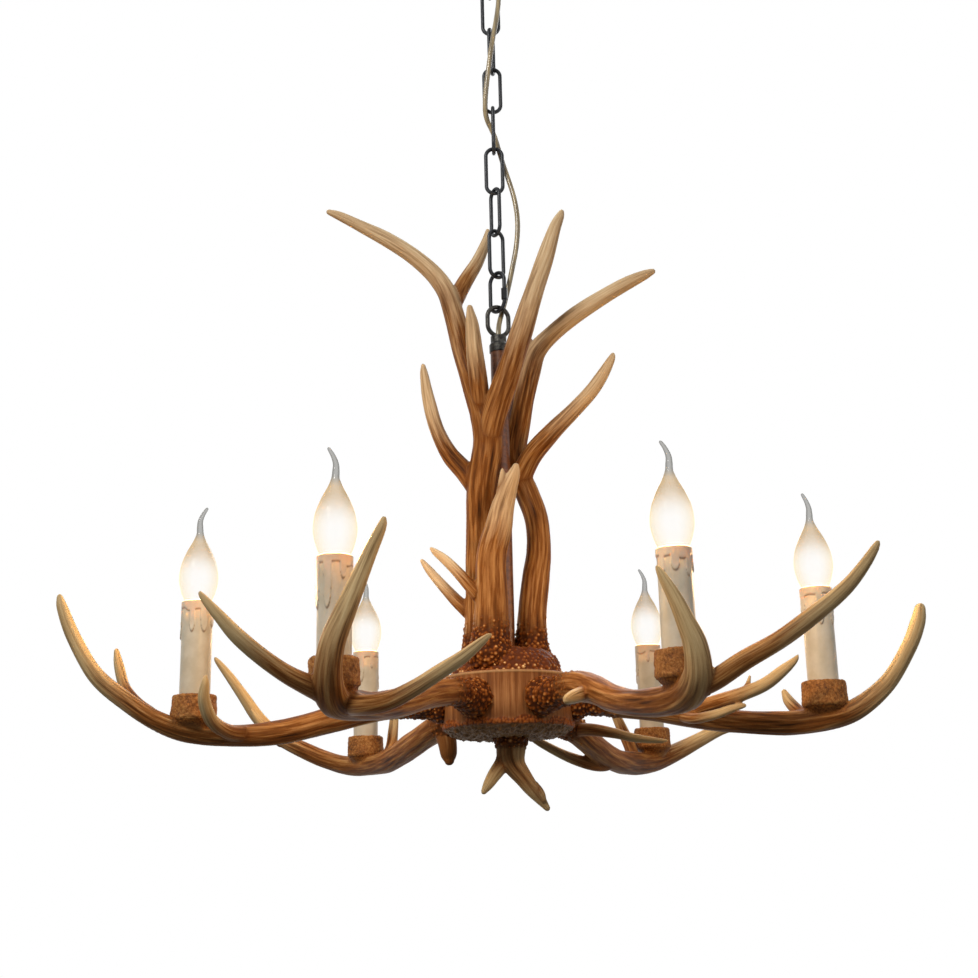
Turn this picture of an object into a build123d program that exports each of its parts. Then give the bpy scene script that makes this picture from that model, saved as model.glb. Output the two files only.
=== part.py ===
"""Six-light antler chandelier on a chain, in millimetres.

+Z is up and the origin is at the middle of the ceiling face of the crossbar,
so the whole lamp hangs below Z = 0.  -Y is the side the lamp is seen from.
Six cast antlers stand out of a round hub, each with a candle; three more
antlers rise round the centre pipe, and a small forked one ends it below.
"""
from build123d import *
import math
import os

# ---------------------------------------------------------------- ceiling end
CANOPY_RADIUS = 60.0
CANOPY_HEIGHT = 45.0
CANOPY_WALL = 1.5
CANOPY_LIP = 8.0             # straight rim before the dome starts
CANOPY_NECK_RADIUS = 14.0    # flat at the bottom that the loop presses on

BRACKET_LENGTH = 104.0
BRACKET_WIDTH = 20.0
BRACKET_THICKNESS = 2.0
BRACKET_DROP = 12.0          # how far the middle of the crossbar is set down
BRACKET_MIDDLE = 44.0        # length of the set-down middle
BRACKET_JOG = 8.0            # length of each slope
CEILING_SLOT_SPACING = 76.0
CEILING_SLOT_LENGTH = 12.0
CEILING_SLOT_WIDTH = 5.0

TERMINAL_WIDTH = 11.0
TERMINAL_LENGTH = 18.0
TERMINAL_HEIGHT = 11.0
TERMINAL_BORE_RADIUS = 1.8
TERMINAL_PITCH = 5.0

# --------------------------------------------------------- loops, chain, link
THREAD_RADIUS = 5.0          # M10 throughout
THREAD_BORE_RADIUS = 3.5     # the flex passes through here
THREAD_CLEARANCE = 0.1
HOLE_CLEARANCE = 0.3
NUT_RADIUS = 9.2             # across the corners, half
NUT_HEIGHT = 5.0

COLLAR_HEIGHT = 17.0
COLLAR_RADIUS = 9.5
COLLAR_NECK_RADIUS = 8.0
RING_WIRE = 4.5
RING_WIDTH = 27.0
RING_LENGTH = 34.5
RING_SINK = 1.25             # how deep the ring's foot is cast into the collar

LINK_WIRE = 4.0
LINK_WIDTH = 21.0
LINK_LENGTH = 55.5
HANG_GAP = 0.25              # between two pieces that hang in each other
LINK_TURNS = (0.0, 75.0, 0.0, 90.0, 0.0, -60.0, 35.0)    # twist of the chain
CANOPY_LOOP_TURN = 90.0

QUICK_WIDTH = 24.0
QUICK_LENGTH = 46.0
QUICK_TURN = -45.0
QUICK_GAP = 7.0              # the opening that the threaded sleeve closes
QUICK_NUT_RADIUS = 3.4
QUICK_NUT_LENGTH = 12.0
QUICK_NUT_CLEARANCE = 0.05
LAMP_LOOP_TURN = 20.0

# ------------------------------------------------------------------ lamp body
PIPE_RADIUS = 8.5
PIPE_WALL = 1.5
PIPE_LENGTH = 305.0          # crown base to lamp loop

HUB_RADIUS = 61.0
HUB_HEIGHT = 48.0
HUB_WALL = 8.0
HUB_TOP = 6.0
COVER_THICKNESS = 5.0
COVER_SPIGOT = 5.0
COVER_SPIGOT_WALL = 3.0
COVER_DOME = 8.0             # the underside swells this far below the rim
COVER_DOME_RADIUS = 47.0

CROWN_BASE_RADIUS = 52.0
CROWN_BASE_TOP_RADIUS = 41.0
CROWN_BASE_HEIGHT = 22.0
CROWN_SCREW_RADIUS = 3.0
CROWN_SCREW_HEAD_RADIUS = 5.5
CROWN_SCREW_HEAD = 4.0
CROWN_SCREW_BITE = 14.0      # how far each screw goes into its antler

BURR_RADIUS = 18.0
BURR_THICKNESS = 8.0
SEAT_GAP = 0.3
ARM_NIPPLE_LENGTH = 31.0
ARM_NIPPLE_BITE = 14.0       # part of it that is inside the antler
NIPPLE_BORE_RADIUS = 3.0

ROD_BELOW_COVER = 20.0

CONNECTOR_RADIUS = 5.0
CONNECTOR_LENGTH = 20.0
CONNECTOR_PLACES = ((24.0, 14.0), (-24.0, -14.0))

# -------------------------------------------------------------------- candles
CANDLE_TOP = 87.0            # sleeve tops above the middle of the hub
SLEEVE_RADIUS = 13.5
SLEEVE_WALL = 1.0
SLEEVE_IN_CUP = 17.0         # the sleeves are cut to length so their tops are level
CUP_TOP_RADIUS = 19.0
CUP_FOOT_RADIUS = 20.5
CUP_HEIGHT = 27.0
CUP_FIT = 0.3
CUP_EDGE = 1.2
CUP_FOOT_TAPER = 9.0         # the foot narrows to the antler over this height
CUP_SEAT_RADIUS = 13.0

HOLDER_RADIUS = 11.5
HOLDER_TOP = 16.0            # below the sleeve's top
HOLDER_HEIGHT = 34.0
HOLDER_WASHER = 2.0
HOLDER_STEM_RADIUS = 4.0
HOLDER_STEM_BORE = 2.0
STEM_SHORT_OF_BEAM = 2.0

CAP_RADIUS = 6.9             # E14 screw cap
CAP_FIT = 0.3
CAP_LENGTH = 20.0
CAP_TIP_LENGTH = 3.0
CAP_TIP_RADIUS = 3.5
CONTACT_RADIUS = 2.8
CONTACT_LENGTH = 1.5
GLASS_FOOT = 15.0            # below the sleeve's top
GLASS_WALL = 0.9
# radius, height above the sleeve's top
GLASS_OUTLINE = ((7.0, -15.0), (9.4, -8.0), (11.6, 0.0), (15.2, 9.0), (17.5, 21.0),
                 (15.9, 34.0), (11.4, 46.0), (6.2, 56.0), (3.4, 63.0))
# sideways, height above the sleeve's top, radius: the drawn-out bent tail
TAIL_PATH = ((0.0, 59.0, 3.0), (0.3, 67.0, 2.8), (0.2, 75.0, 2.3), (-2.0, 82.0, 1.8),
             (-5.2, 87.0, 1.3))
TAIL_TURNS = (20.0, 10.0, 20.0, 200.0, 10.0, 350.0)    # which way each tail bends

# ----------------------------------------------------------------------- cord
CORD_DIAMETER = 5.4
CORD_ROUTE = (
    (0, 0, -54), (0, 0, -68), (7, -3, -82), (10, -9, -100), (7, -10.5, -126),
    (1, -15, -160), (-4.5, -13, -198), (-8, -9, -226), (-8, -4, -244), (0, 0.5, -259),
    (5, 5, -276), (9.5, 7.5, -293), (15, 7, -312), (20.5, 5, -334), (23.5, 3, -360),
    (21.5, 3, -388), (16, 4.5, -414), (10.5, 7, -438), (5, 9.5, -458), (1, 4, -474),
    (0, 0, -485), (0, 0, -498),
)

# -------------------------------------------------------------------- antlers
# Each branch is a list of (out, side, up, radius): out from the hub's wall along
# the arm's own direction, side to its left, up from the middle of the hub.
# The first branch is the beam, the others are its tines.
ARMS = (
    dict(angle=0.0, candle=(217.2, -82), beam_up=-30, cup_rise=4, branches=(
        ((-4, 0, 1, 13), (6, 0, 1, 13), (34, -9, -3, 12.4), (70, -24, -10, 11.8),
         (104, -42, -19, 11.2), (140, -59, -27, 10.8), (180, -73, -31, 10.6),
         (216, -83, -29, 10.4), (243, -92, -21, 9), (269, -101, 0, 7.8),
         (288, -107, 29, 7), (297, -110, 50, 6.6), (300, -111, 62, 5)),
        ((98, -38, -17, 8), (118, -72, -13, 7), (141, -103, -8, 6.2),
         (158, -119, -2, 5.6), (172, -129, 8, 4.8), (182, -133, 16, 3), (185, -134, 20, 1.4)),
        ((96, -42, -20, 5.5), (104, -70, -25, 4.8), (118, -92, -24, 4.2),
         (132, -101, -20, 3.6), (142, -104, -18, 2.2)),
        ((202, -80, -29, 6.4), (196, -62, -18, 5.8), (192, -51, -9, 5), (190, -44, 0, 2.6)),
        ((144, -105, -5, 3), (147, -107, 3, 2), (148, -107, 7, 1.2)),
    )),
    dict(angle=60.0, candle=(230.6, -18.8), beam_up=-42, cup_rise=-5, branches=(
        ((-4, -2, -4, 14), (8, -8, -8, 14), (37, -19, -19, 12.8), (66, -20, -29, 12.6),
         (100, -18, -38, 12.6), (145, -16, -45, 12.4), (190, -15, -45, 12),
         (229, -18, -42, 11.4), (263, -30, -31, 10), (291, -50, -16, 8.4),
         (309, -68, -4, 7.2), (322, -83, 1, 5.8), (331, -94, 4, 3.6), (333, -97, 5, 2)),
        ((34, -20, -20, 7), (24, -45, -22, 6), (20, -70, -27, 5), (23, -92, -33, 4.2),
         (32, -112, -36, 2.6), (36, -118, -36, 1.4)),
        ((196, -12, -42, 7), (209, 0, -23, 6.6), (213, 10, -4, 6), (214, 19, 16, 5),
         (211, 25, 33, 3.2), (210, 27, 39, 1.6)),
        ((128, -18, -45, 7.4), (112, -14, -50, 6.8), (90, -7, -49, 6.2), (64, 5, -42, 5.4),
         (38, 19, -30, 4.4), (24, 27, -22, 2.4)),
    )),
    dict(angle=120.0, candle=(227.7, 13.8), beam_up=-39, cup_rise=-7, branches=(
        ((-4, 2, -4, 14), (8, 8, -5, 14), (37, 18, -12, 13.6), (62, 20, -18, 13.2),
         (101, 20, -27, 12.6), (165, 14, -37, 12.2), (223, 14, -39, 11.4),
         (262, 23, -36, 10.6), (290, 38, -27, 9.8), (309, 55, -16, 9), (325, 77, -2, 8.2),
         (333, 99, 19, 7.6), (337, 116, 43, 7), (341, 133, 67, 5.6), (345, 147, 85, 3.4),
         (346, 150, 89, 2)),
        ((324, 74, -7, 7), (323, 92, 5, 6), (325, 106, 20, 4.2), (326, 112, 29, 1.5)),
        ((178, 14, -36, 8), (194, -1, -22, 6.6), (203, -8, -2, 5.6), (207, -12, 18, 4.2),
         (208, -14, 30, 1.8)),
        ((36, 18, -12, 11), (31, 16, -29, 9.4), (30, 15, -42, 8), (29, 15, -47, 5.2)),
    )),
    dict(angle=180.0, candle=(216, 82), beam_up=-29, cup_rise=4, branches=(
        ((-4, 0, 1, 13.4), (8, 2, 1, 13.2), (44, 8, -1, 12.8), (76, 19, -7, 12.5),
         (104, 33, -16, 12), (143, 52, -27, 11), (182, 69, -31, 10.2), (220, 84, -28, 9.4),
         (247, 92, -18, 8.7), (270, 99, -3, 8), (297, 106, 20, 7.4), (317, 110, 53, 6.4),
         (328, 112, 79, 5), (331, 112, 89, 3)),
        ((168, 62, -29, 8), (184, 84, -29, 6.8), (195, 106, -21, 6.2), (199, 122, -5, 5.4),
         (197, 130, 8, 3.6), (196, 132, 14, 1.6)),
        ((250, 94, -14, 6.5), (268, 78, -1, 5.8), (283, 64, 15, 5.2), (292, 54, 36, 4.6),
         (296, 50, 50, 2.6)),
    )),
    dict(angle=240.0, candle=(230, 14), beam_up=-23, cup_rise=9, branches=(
        ((-4, 0, 0, 13), (8, 0, 0, 13), (34, 0, 2, 12.2), (72, 0, -3, 12),
         (120, 5, -14, 11.6), (168, 11, -22, 12), (210, 16, -25, 12.2), (240, 21, -24, 12),
         (259, 30, -9, 11.4), (265, 38, 12, 10.4), (262, 46, 34, 8.6), (255, 53, 58, 7),
         (248, 60, 82, 5.6), (242, 66, 101, 3.8), (240, 67, 108, 2.2)),
        ((238, 22, -21, 11), (264, 16, -15, 8.2), (281, 9, -8, 7), (299, 1, 3, 6.2),
         (316, -8, 17, 5.8), (327, -16, 31, 4.6), (334, -24, 43, 3), (336, -26, 47, 1.8)),
        ((220, 22, -25, 10), (238, 48, -30, 8.2), (243, 74, -29, 7), (240, 94, -21, 6.2),
         (235, 111, -11, 5.8), (229, 127, -1, 4.8), (221, 140, 11, 3), (218, 144, 15, 1.8)),
    )),
    dict(angle=300.0, candle=(227.8, -18.2), beam_up=-24, cup_rise=9, branches=(
        ((-4, 2, 0, 14), (8, 3, 0, 14), (46, 6, 3, 13.6), (80, 2, -3, 12.8),
         (120, -7, -15, 11.6), (162, -14, -24, 11.2), (200, -18, -27, 11.6),
         (235, -20, -26, 12.2), (259, -27, -14, 11.2), (267, -34, 6, 9.2),
         (267, -42, 24, 6.9), (263, -48, 42, 5.4), (258, -54, 58, 3.6), (256, -56, 64, 2.2)),
        ((240, -22, -22, 11), (264, -16, -18, 8.2), (284, -4, -6, 7.4), (306, 14, 8, 6.8),
         (328, 33, 27, 6.2), (343, 46, 42, 5.6), (352, 56, 57, 4.6), (357, 63, 69, 3.2),
         (358, 65, 73, 2)),
        ((68, 6, -2, 8.5), (80, -8, -7, 7), (92, -27, -12, 5.6), (98, -37, -15, 4)),
        ((258, -33, -3, 5), (264, -28, 3, 3.4), (266, -26, 7, 1.8)),
    )),
)

# Crown antlers: (x, y, up, radius), up from the top of the crown base.
CROWN_ANTLERS = (
    (   # the short one in front
        ((-15, -32, -18, 18), (-15, -32, 2, 17.6), (-14, -33, 22, 16.8), (-13, -34, 57, 15.6),
         (-12, -36, 88, 14.2), (-5, -39, 114, 13), (0, -41, 135, 11), (6, -44, 153, 8.4),
         (11, -46, 165, 6), (13, -47, 172, 3.4)),
        ((-22, -36, 48, 8.4), (-34, -38, 61, 6.4), (-45, -36, 74, 5.4), (-56, -33, 86, 4.8),
         (-65, -30, 94, 3.6), (-69, -28, 98, 2)),
        ((-2, -43, 135, 6), (-1, -46, 150, 4.8), (0, -48, 162, 3.4), (0, -49, 168, 2)),
    ),
    (   # the tall one on the left
        ((-25, 4, -18, 16), (-25, 4, 6, 16), (-24, 1, 50, 14.4), (-23, -5, 90, 13.8),
         (-22, -12, 129, 14), (-19, -19, 167, 15), (-13, -22, 204, 15.2),
         (-17, -21, 232, 13), (-25, -18, 260, 11.4), (-33, -14, 293, 11), (-39, -12, 320, 11),
         (-45, -11, 346, 11), (-52, -9, 369, 10), (-65, -7, 390, 9), (-87, -5, 412, 8.4),
         (-112, -2, 431, 7.6), (-140, 2, 449, 6.4), (-162, 6, 463, 5), (-174, 8, 469, 3)),
        ((-46, -9, 354, 10), (-33, 5, 385, 8), (-20, 18, 413, 6.8), (-11, 30, 440, 5),
         (-8, 38, 458, 2.6)),
        ((-14, -24, 200, 13), (-5, -33, 232, 12.4), (8, -40, 268, 12), (22, -44, 309, 11.2),
         (34, -46, 346, 10.2), (47, -46, 384, 8.6), (58, -45, 418, 6.4), (64, -44, 432, 4.6),
         (66, -44, 437, 2.8)),
        ((-18, -22, 226, 10), (-21, -30, 264, 9.2), (-24, -36, 294, 8.4), (-26, -38, 320, 6.6),
         (-28, -38, 339, 3)),
        ((-24, -15, 160, 11), (-36, -14, 177, 10), (-51, -12, 196, 9), (-63, -10, 222, 7.4),
         (-71, -8, 254, 6.2), (-75, -8, 280, 4.4), (-76, -8, 290, 2.4)),
        ((-27, 2, 36, 9), (-44, 6, 51, 6.6), (-59, 8, 68, 5.6), (-72, 10, 84, 4.4),
         (-80, 11, 95, 2.2)),
    ),
    (   # the forked one on the right
        ((24, 4, -18, 15), (24, 4, 6, 15), (26, 4, 40, 14), (30, 5, 71, 13),
         (34, 6, 101, 12.2), (33, 8, 132, 12), (25, 13, 160, 12), (16, 17, 184, 12.4),
         (13, 19, 208, 12.4), (18, 18, 234, 12), (24, 13, 262, 11.4), (31, 9, 288, 11),
         (38, 4, 307, 10.4), (54, -2, 323, 9.2), (78, -7, 341, 8.6), (105, -12, 357, 8),
         (130, -16, 370, 6.8), (149, -19, 378, 4.8), (157, -20, 381, 3)),
        ((33, 7, 294, 9), (30, 8, 314, 7.2), (28, 9, 326, 3.6)),
        ((18, 12, 176, 11.2), (30, -1, 196, 10.2), (49, -13, 215, 9.2), (70, -23, 233, 8.2),
         (88, -31, 250, 7.2), (100, -35, 266, 6), (109, -38, 281, 4), (111, -38, 286, 2.4)),
    ),
)

# Finial: (x, y, down from the hub's lower rim, radius)
FINIAL = (
    ((2, 0, 8, 15), (2, 0, 12, 14.4), (2, 0, 18, 13.4), (2, 0, 25, 13), (5, 0, 34, 10.6),
     (12, 0, 44, 8.8), (20, 0, 55, 7.4), (28, 0, 65, 5.2), (34, 0, 73, 3)),
    ((1, 0, 23, 11), (-7, -2, 33, 7.6), (-14, -3, 42, 6.4), (-20, -5, 51, 5), (-24, -6, 57, 3)),
    ((21, -1, 53, 6.4), (28, -3, 61, 4.8), (31, -4, 66, 2.6)),
)

# ------------------------------------------------------------ heights, derived
collar_seat = -CANOPY_HEIGHT
ring_end = collar_seat - COLLAR_HEIGHT - RING_LENGTH
link_top = ring_end + RING_WIRE / 2 + (RING_WIRE + LINK_WIRE) / 2 + HANG_GAP   # wire centre
link_pitch = LINK_LENGTH - 2 * LINK_WIRE - HANG_GAP
quick_top = link_top - len(LINK_TURNS) * link_pitch
quick_bottom = quick_top - (QUICK_LENGTH - LINK_WIRE)
lamp_ring_top = quick_bottom + (RING_WIRE + LINK_WIRE) / 2 + HANG_GAP + RING_WIRE / 2
lamp_collar_top = lamp_ring_top - RING_LENGTH
pipe_top = lamp_collar_top - COLLAR_HEIGHT
crown_top = pipe_top - PIPE_LENGTH
hub_top = crown_top - CROWN_BASE_HEIGHT
hub_middle = hub_top - HUB_HEIGHT / 2
hub_bottom = hub_top - HUB_HEIGHT
candle_top = hub_middle + CANDLE_TOP
cap_end = candle_top - GLASS_FOOT - CAP_LENGTH - CAP_TIP_LENGTH - CONTACT_LENGTH

os.makedirs("parts", exist_ok=True)


def save(name, shape):
    """Write one node; a list becomes a group of separate solids."""
    if isinstance(shape, (list, tuple)):
        shape = Compound(children=list(shape))
    export_step(shape, f"parts/{name}.step")


def lathe(*points):
    """A turned piece from its (radius, height) outline."""
    return revolve(Plane.XZ * make_face(Polyline(*points, close=True)), Axis.Z)


def tube(outer, inner, low, high):
    return lathe((inner, low), (outer, low), (outer, high), (inner, high))


def rod(radius, low, high):
    return Pos(0, 0, low) * Cylinder(radius, high - low, align=(Align.CENTER, Align.CENTER, Align.MIN))


def hex_nut(low):
    """An M10 nut standing on the height low."""
    blank = extrude(Pos(0, 0, low) * RegularPolygon(NUT_RADIUS, 6), NUT_HEIGHT)
    return blank - rod(THREAD_RADIUS + THREAD_CLEARANCE, low - 1, low + NUT_HEIGHT + 1)


def oval_link(width, length, wire):
    """A closed link in the XZ plane, centred on the origin."""
    bend = (width - wire) / 2
    straight = length - width
    lower = Pos(0, 0, -straight / 2) * revolve(Plane.XY * Pos(bend, 0, 0) * Circle(wire / 2), Axis.Y, 180)
    upper = Rot(180, 0, 0) * lower
    leg = rod(wire / 2, -straight / 2, straight / 2)
    return upper + lower + Pos(bend, 0, 0) * leg + Pos(-bend, 0, 0) * leg


def turned_frame(previous_x, direction):
    """Carry a section's X axis along a bend, so the lofted skin never twists."""
    flat = previous_x - direction * previous_x.dot(direction)
    return flat.normalized()


def branch(points):
    """One tapering antler branch through (x, y, z, radius) points."""
    places = [Vector(*point[:3]) for point in points]
    last = len(places) - 1
    start = (places[1] - places[0]).normalized()
    across = start.cross(Vector(0.31, 0.17, 0.93)).normalized()
    sections = []
    for index, place in enumerate(places):
        before = places[max(index - 1, 0)]
        after = places[min(index + 1, last)]
        direction = (after - before).normalized()
        across = turned_frame(across, direction)
        plane = Plane(origin=place, x_dir=across, z_dir=direction)
        sections.append(plane * Circle(points[index][3]))
    return loft(sections)


def antler(branches):
    """A beam with its tines, as one casting."""
    whole = branch(branches[0])
    for tine in branches[1:]:
        whole = whole + branch(tine)
    return whole


# ---------------------------------------------------------------- ceiling end
def canopy_solid(offset):
    radius = CANOPY_RADIUS - offset
    bottom = offset - CANOPY_HEIGHT
    neck = (CANOPY_NECK_RADIUS, bottom)
    lip = (radius, -CANOPY_LIP)
    edges = [Line((0, 0), (radius, 0)), Line((radius, 0), lip), TangentArc(neck, lip, tangent=(1, 0)),
             Line(neck, (0, bottom)), Line((0, bottom), (0, 0))]
    return revolve(Plane.XZ * make_face(edges), Axis.Z)


def make_canopy():
    shell = canopy_solid(0) - canopy_solid(CANOPY_WALL)
    return shell - rod(THREAD_RADIUS + HOLE_CLEARANCE, -CANOPY_HEIGHT - 1, 0)


def make_bracket():
    half = BRACKET_LENGTH / 2
    flat = BRACKET_MIDDLE / 2
    foot = flat + BRACKET_JOG
    top = [(-half, 0), (-foot, 0), (-flat, -BRACKET_DROP), (flat, -BRACKET_DROP), (foot, 0), (half, 0)]
    under = [(x, z - BRACKET_THICKNESS) for x, z in reversed(top)]
    profile = Plane.XZ * make_face(Polyline(*top, *under, close=True))
    strip = extrude(profile, BRACKET_WIDTH / 2, both=True)
    strip = strip - rod(THREAD_RADIUS + HOLE_CLEARANCE, -BRACKET_DROP - 3 * BRACKET_THICKNESS, 0)
    slot = SlotOverall(CEILING_SLOT_LENGTH, CEILING_SLOT_WIDTH)
    for side in (-1, 1):
        place = Pos(side * CEILING_SLOT_SPACING / 2, 0, -2 * BRACKET_THICKNESS)
        strip = strip - extrude(place * slot, 3 * BRACKET_THICKNESS)
    return strip


def make_terminal_block():
    """Where the flex meets the house wiring, on the underside of the crossbar."""
    top = -BRACKET_DROP - BRACKET_THICKNESS
    x = NUT_RADIUS + SEAT_GAP + TERMINAL_WIDTH / 2
    block = Box(TERMINAL_WIDTH, TERMINAL_LENGTH, TERMINAL_HEIGHT)
    bore = Rot(90, 0, 0) * rod(TERMINAL_BORE_RADIUS, -TERMINAL_LENGTH, TERMINAL_LENGTH)
    for side in (-1, 1):
        block = block - Pos(side * TERMINAL_PITCH / 2, 0, 0) * bore
    return Pos(x, 0, top - TERMINAL_HEIGHT / 2) * block


def screw_loop():
    """The collar stands on Z = 0 with its ring above, in the XZ plane."""
    collar = lathe((0, 0), (COLLAR_RADIUS, 0), (COLLAR_RADIUS, COLLAR_HEIGHT * 0.45),
                   (COLLAR_NECK_RADIUS, COLLAR_HEIGHT * 0.6), (COLLAR_NECK_RADIUS, COLLAR_HEIGHT),
                   (0, COLLAR_HEIGHT))
    length = RING_LENGTH + RING_SINK
    ring = Pos(0, 0, COLLAR_HEIGHT - RING_SINK + length / 2) * oval_link(RING_WIDTH, length, RING_WIRE)
    return collar + ring


def make_canopy_loop():
    stud_top = -NUT_HEIGHT / 2
    loop = Pos(0, 0, collar_seat) * Rot(180, 0, CANOPY_LOOP_TURN) * screw_loop()
    stud = rod(THREAD_RADIUS, collar_seat - 1, stud_top)
    window = collar_seat - COLLAR_HEIGHT - RING_WIRE
    return loop + stud - rod(THREAD_BORE_RADIUS, window, 0)


def make_lamp_loop():
    loop = Pos(0, 0, pipe_top) * Rot(0, 0, LAMP_LOOP_TURN) * screw_loop()
    thread = rod(THREAD_RADIUS + THREAD_CLEARANCE, pipe_top - 1, pipe_top + COLLAR_HEIGHT * 0.6)
    window = pipe_top + COLLAR_HEIGHT + RING_WIRE
    return loop - thread - rod(THREAD_BORE_RADIUS, pipe_top, window)


def make_quick_link():
    """An oval link with one leg open, and the threaded sleeve that closes it."""
    leg = (QUICK_WIDTH - LINK_WIRE) / 2
    straight = QUICK_LENGTH - QUICK_WIDTH
    nut_low = -straight / 2 + QUICK_NUT_CLEARANCE
    gap_low = nut_low + (QUICK_NUT_LENGTH - QUICK_GAP) / 2
    opening = Pos(leg, 0, 0) * rod(LINK_WIRE, gap_low, gap_low + QUICK_GAP)
    body = oval_link(QUICK_WIDTH, QUICK_LENGTH, LINK_WIRE) - opening
    sleeve = extrude(Pos(0, 0, nut_low) * RegularPolygon(QUICK_NUT_RADIUS, 6), QUICK_NUT_LENGTH)
    bore = rod(LINK_WIRE / 2 + QUICK_NUT_CLEARANCE, nut_low - 1, nut_low + QUICK_NUT_LENGTH + 1)
    place = Pos(0, 0, (quick_top + quick_bottom) / 2) * Rot(0, 0, QUICK_TURN)
    return place * body, place * Pos(leg, 0, 0) * (sleeve - bore)


# ------------------------------------------------------------------ lamp body
def make_hub():
    inner = HUB_RADIUS - HUB_WALL
    shell = rod(HUB_RADIUS, hub_bottom + COVER_THICKNESS, hub_top)
    shell = shell - rod(inner, hub_bottom, hub_top - HUB_TOP)
    shell = shell - rod(THREAD_RADIUS + HOLE_CLEARANCE, hub_bottom, hub_top + 1)
    for arm in ARMS:
        across = Rot(0, 90, 0) * rod(THREAD_RADIUS + HOLE_CLEARANCE, 0, HUB_RADIUS + 1)
        shell = shell - Pos(0, 0, hub_middle) * Rot(0, 0, arm["angle"]) * across
    screw_hole = rod(CROWN_SCREW_RADIUS + HOLE_CLEARANCE, hub_bottom, hub_top + 1)
    for antler_points in CROWN_ANTLERS:
        x, y = antler_points[0][0][:2]
        shell = shell - Pos(x, y, 0) * screw_hole
    return shell


def make_bottom_cover():
    seat = hub_bottom + COVER_THICKNESS
    inner = HUB_RADIUS - HUB_WALL - HOLE_CLEARANCE
    low = hub_bottom - COVER_DOME
    shoulder = (HUB_RADIUS + COVER_DOME_RADIUS) / 2
    plate = lathe((0, low), (COVER_DOME_RADIUS, low), (shoulder, hub_bottom - COVER_DOME * 0.6),
                  (HUB_RADIUS - 1, hub_bottom), (HUB_RADIUS, hub_bottom + 1), (HUB_RADIUS, seat), (0, seat))
    cover = plate + tube(inner, inner - COVER_SPIGOT_WALL, seat - 1, seat + COVER_SPIGOT)
    return cover - rod(THREAD_RADIUS + HOLE_CLEARANCE, low - 1, seat + 1)


def make_crown_base():
    rise = CROWN_BASE_HEIGHT
    step = CROWN_BASE_RADIUS - CROWN_BASE_TOP_RADIUS
    screw_hole = rod(CROWN_SCREW_RADIUS + HOLE_CLEARANCE, hub_top - 1, crown_top + 1)
    mound = lathe((0, hub_top), (CROWN_BASE_RADIUS, hub_top),
                  (CROWN_BASE_RADIUS - 0.12 * step, hub_top + 0.3 * rise),
                  (CROWN_BASE_RADIUS - 0.4 * step, hub_top + 0.68 * rise),
                  (CROWN_BASE_TOP_RADIUS, crown_top), (0, crown_top))
    mound = mound - rod(THREAD_RADIUS + HOLE_CLEARANCE, hub_top - 1, crown_top + 1)
    for antler_points in CROWN_ANTLERS:
        x, y = antler_points[0][0][:2]
        mound = mound - Pos(x, y, 0) * screw_hole
    return mound


def make_crown_screw(antler_points):
    x, y = antler_points[0][0][:2]
    underside = hub_top - HUB_TOP
    head = rod(CROWN_SCREW_HEAD_RADIUS, underside - CROWN_SCREW_HEAD, underside)
    shank = rod(CROWN_SCREW_RADIUS, underside - 1, crown_top + CROWN_SCREW_BITE)
    return Pos(x, y, 0) * (head + shank)


def make_crown_antler(antler_points, base):
    x, y = antler_points[0][0][:2]
    casting = Pos(0, 0, crown_top) * antler(antler_points)
    hole_end = crown_top + CROWN_SCREW_BITE + 1
    hole = Pos(x, y, 0) * rod(CROWN_SCREW_RADIUS + THREAD_CLEARANCE, hub_top, hole_end)
    floor = rod(2 * HUB_RADIUS, hub_top - HUB_HEIGHT, hub_top + SEAT_GAP)
    return casting - base - hole - floor


def make_finial():
    turned = [[(x, y, -down, radius) for x, y, down, radius in points] for points in FINIAL]
    casting = Pos(0, 0, hub_bottom) * antler(turned)
    hole_end = hub_bottom - ROD_BELOW_COVER - 1
    seat = rod(HUB_RADIUS, hub_bottom - COVER_DOME, hub_bottom + 1)
    return casting - seat - rod(THREAD_RADIUS + THREAD_CLEARANCE, hole_end, hub_bottom + 1)


def arm_frame(arm):
    """Where an arm's own out, side and up start: on the hub's wall."""
    return Pos(0, 0, hub_middle) * Rot(0, 0, arm["angle"]) * Pos(HUB_RADIUS, 0, 0)


def make_arm(arm):
    burr = Rot(0, 90, 0) * rod(BURR_RADIUS, -BURR_THICKNESS, BURR_THICKNESS)
    casting = arm_frame(arm) * (antler(arm["branches"]) + burr)
    casting = casting - rod(HUB_RADIUS + SEAT_GAP, hub_bottom - HUB_HEIGHT, hub_top + HUB_HEIGHT)
    bore = Rot(0, 90, 0) * rod(THREAD_RADIUS + THREAD_CLEARANCE, -1, ARM_NIPPLE_BITE + 1)
    casting = casting - arm_frame(arm) * bore
    out, side = arm["candle"]
    stem_hole = rod(HOLDER_STEM_RADIUS + THREAD_CLEARANCE, arm["beam_up"] + STEM_SHORT_OF_BEAM / 2, 0)
    return casting - arm_frame(arm) * Pos(out, side, 0) * stem_hole


def make_nipple(arm):
    start = ARM_NIPPLE_BITE - ARM_NIPPLE_LENGTH
    pipe = tube(THREAD_RADIUS, NIPPLE_BORE_RADIUS, start, ARM_NIPPLE_BITE)
    return arm_frame(arm) * Rot(0, 90, 0) * pipe


def make_arm_locknut(arm):
    inner = HUB_RADIUS - HUB_WALL
    flat_at = math.sqrt(inner ** 2 - NUT_RADIUS ** 2) - SEAT_GAP / 2
    nut = Rot(0, 90, 0) * hex_nut(flat_at - NUT_HEIGHT)
    return Pos(0, 0, hub_middle) * Rot(0, 0, arm["angle"]) * nut


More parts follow.
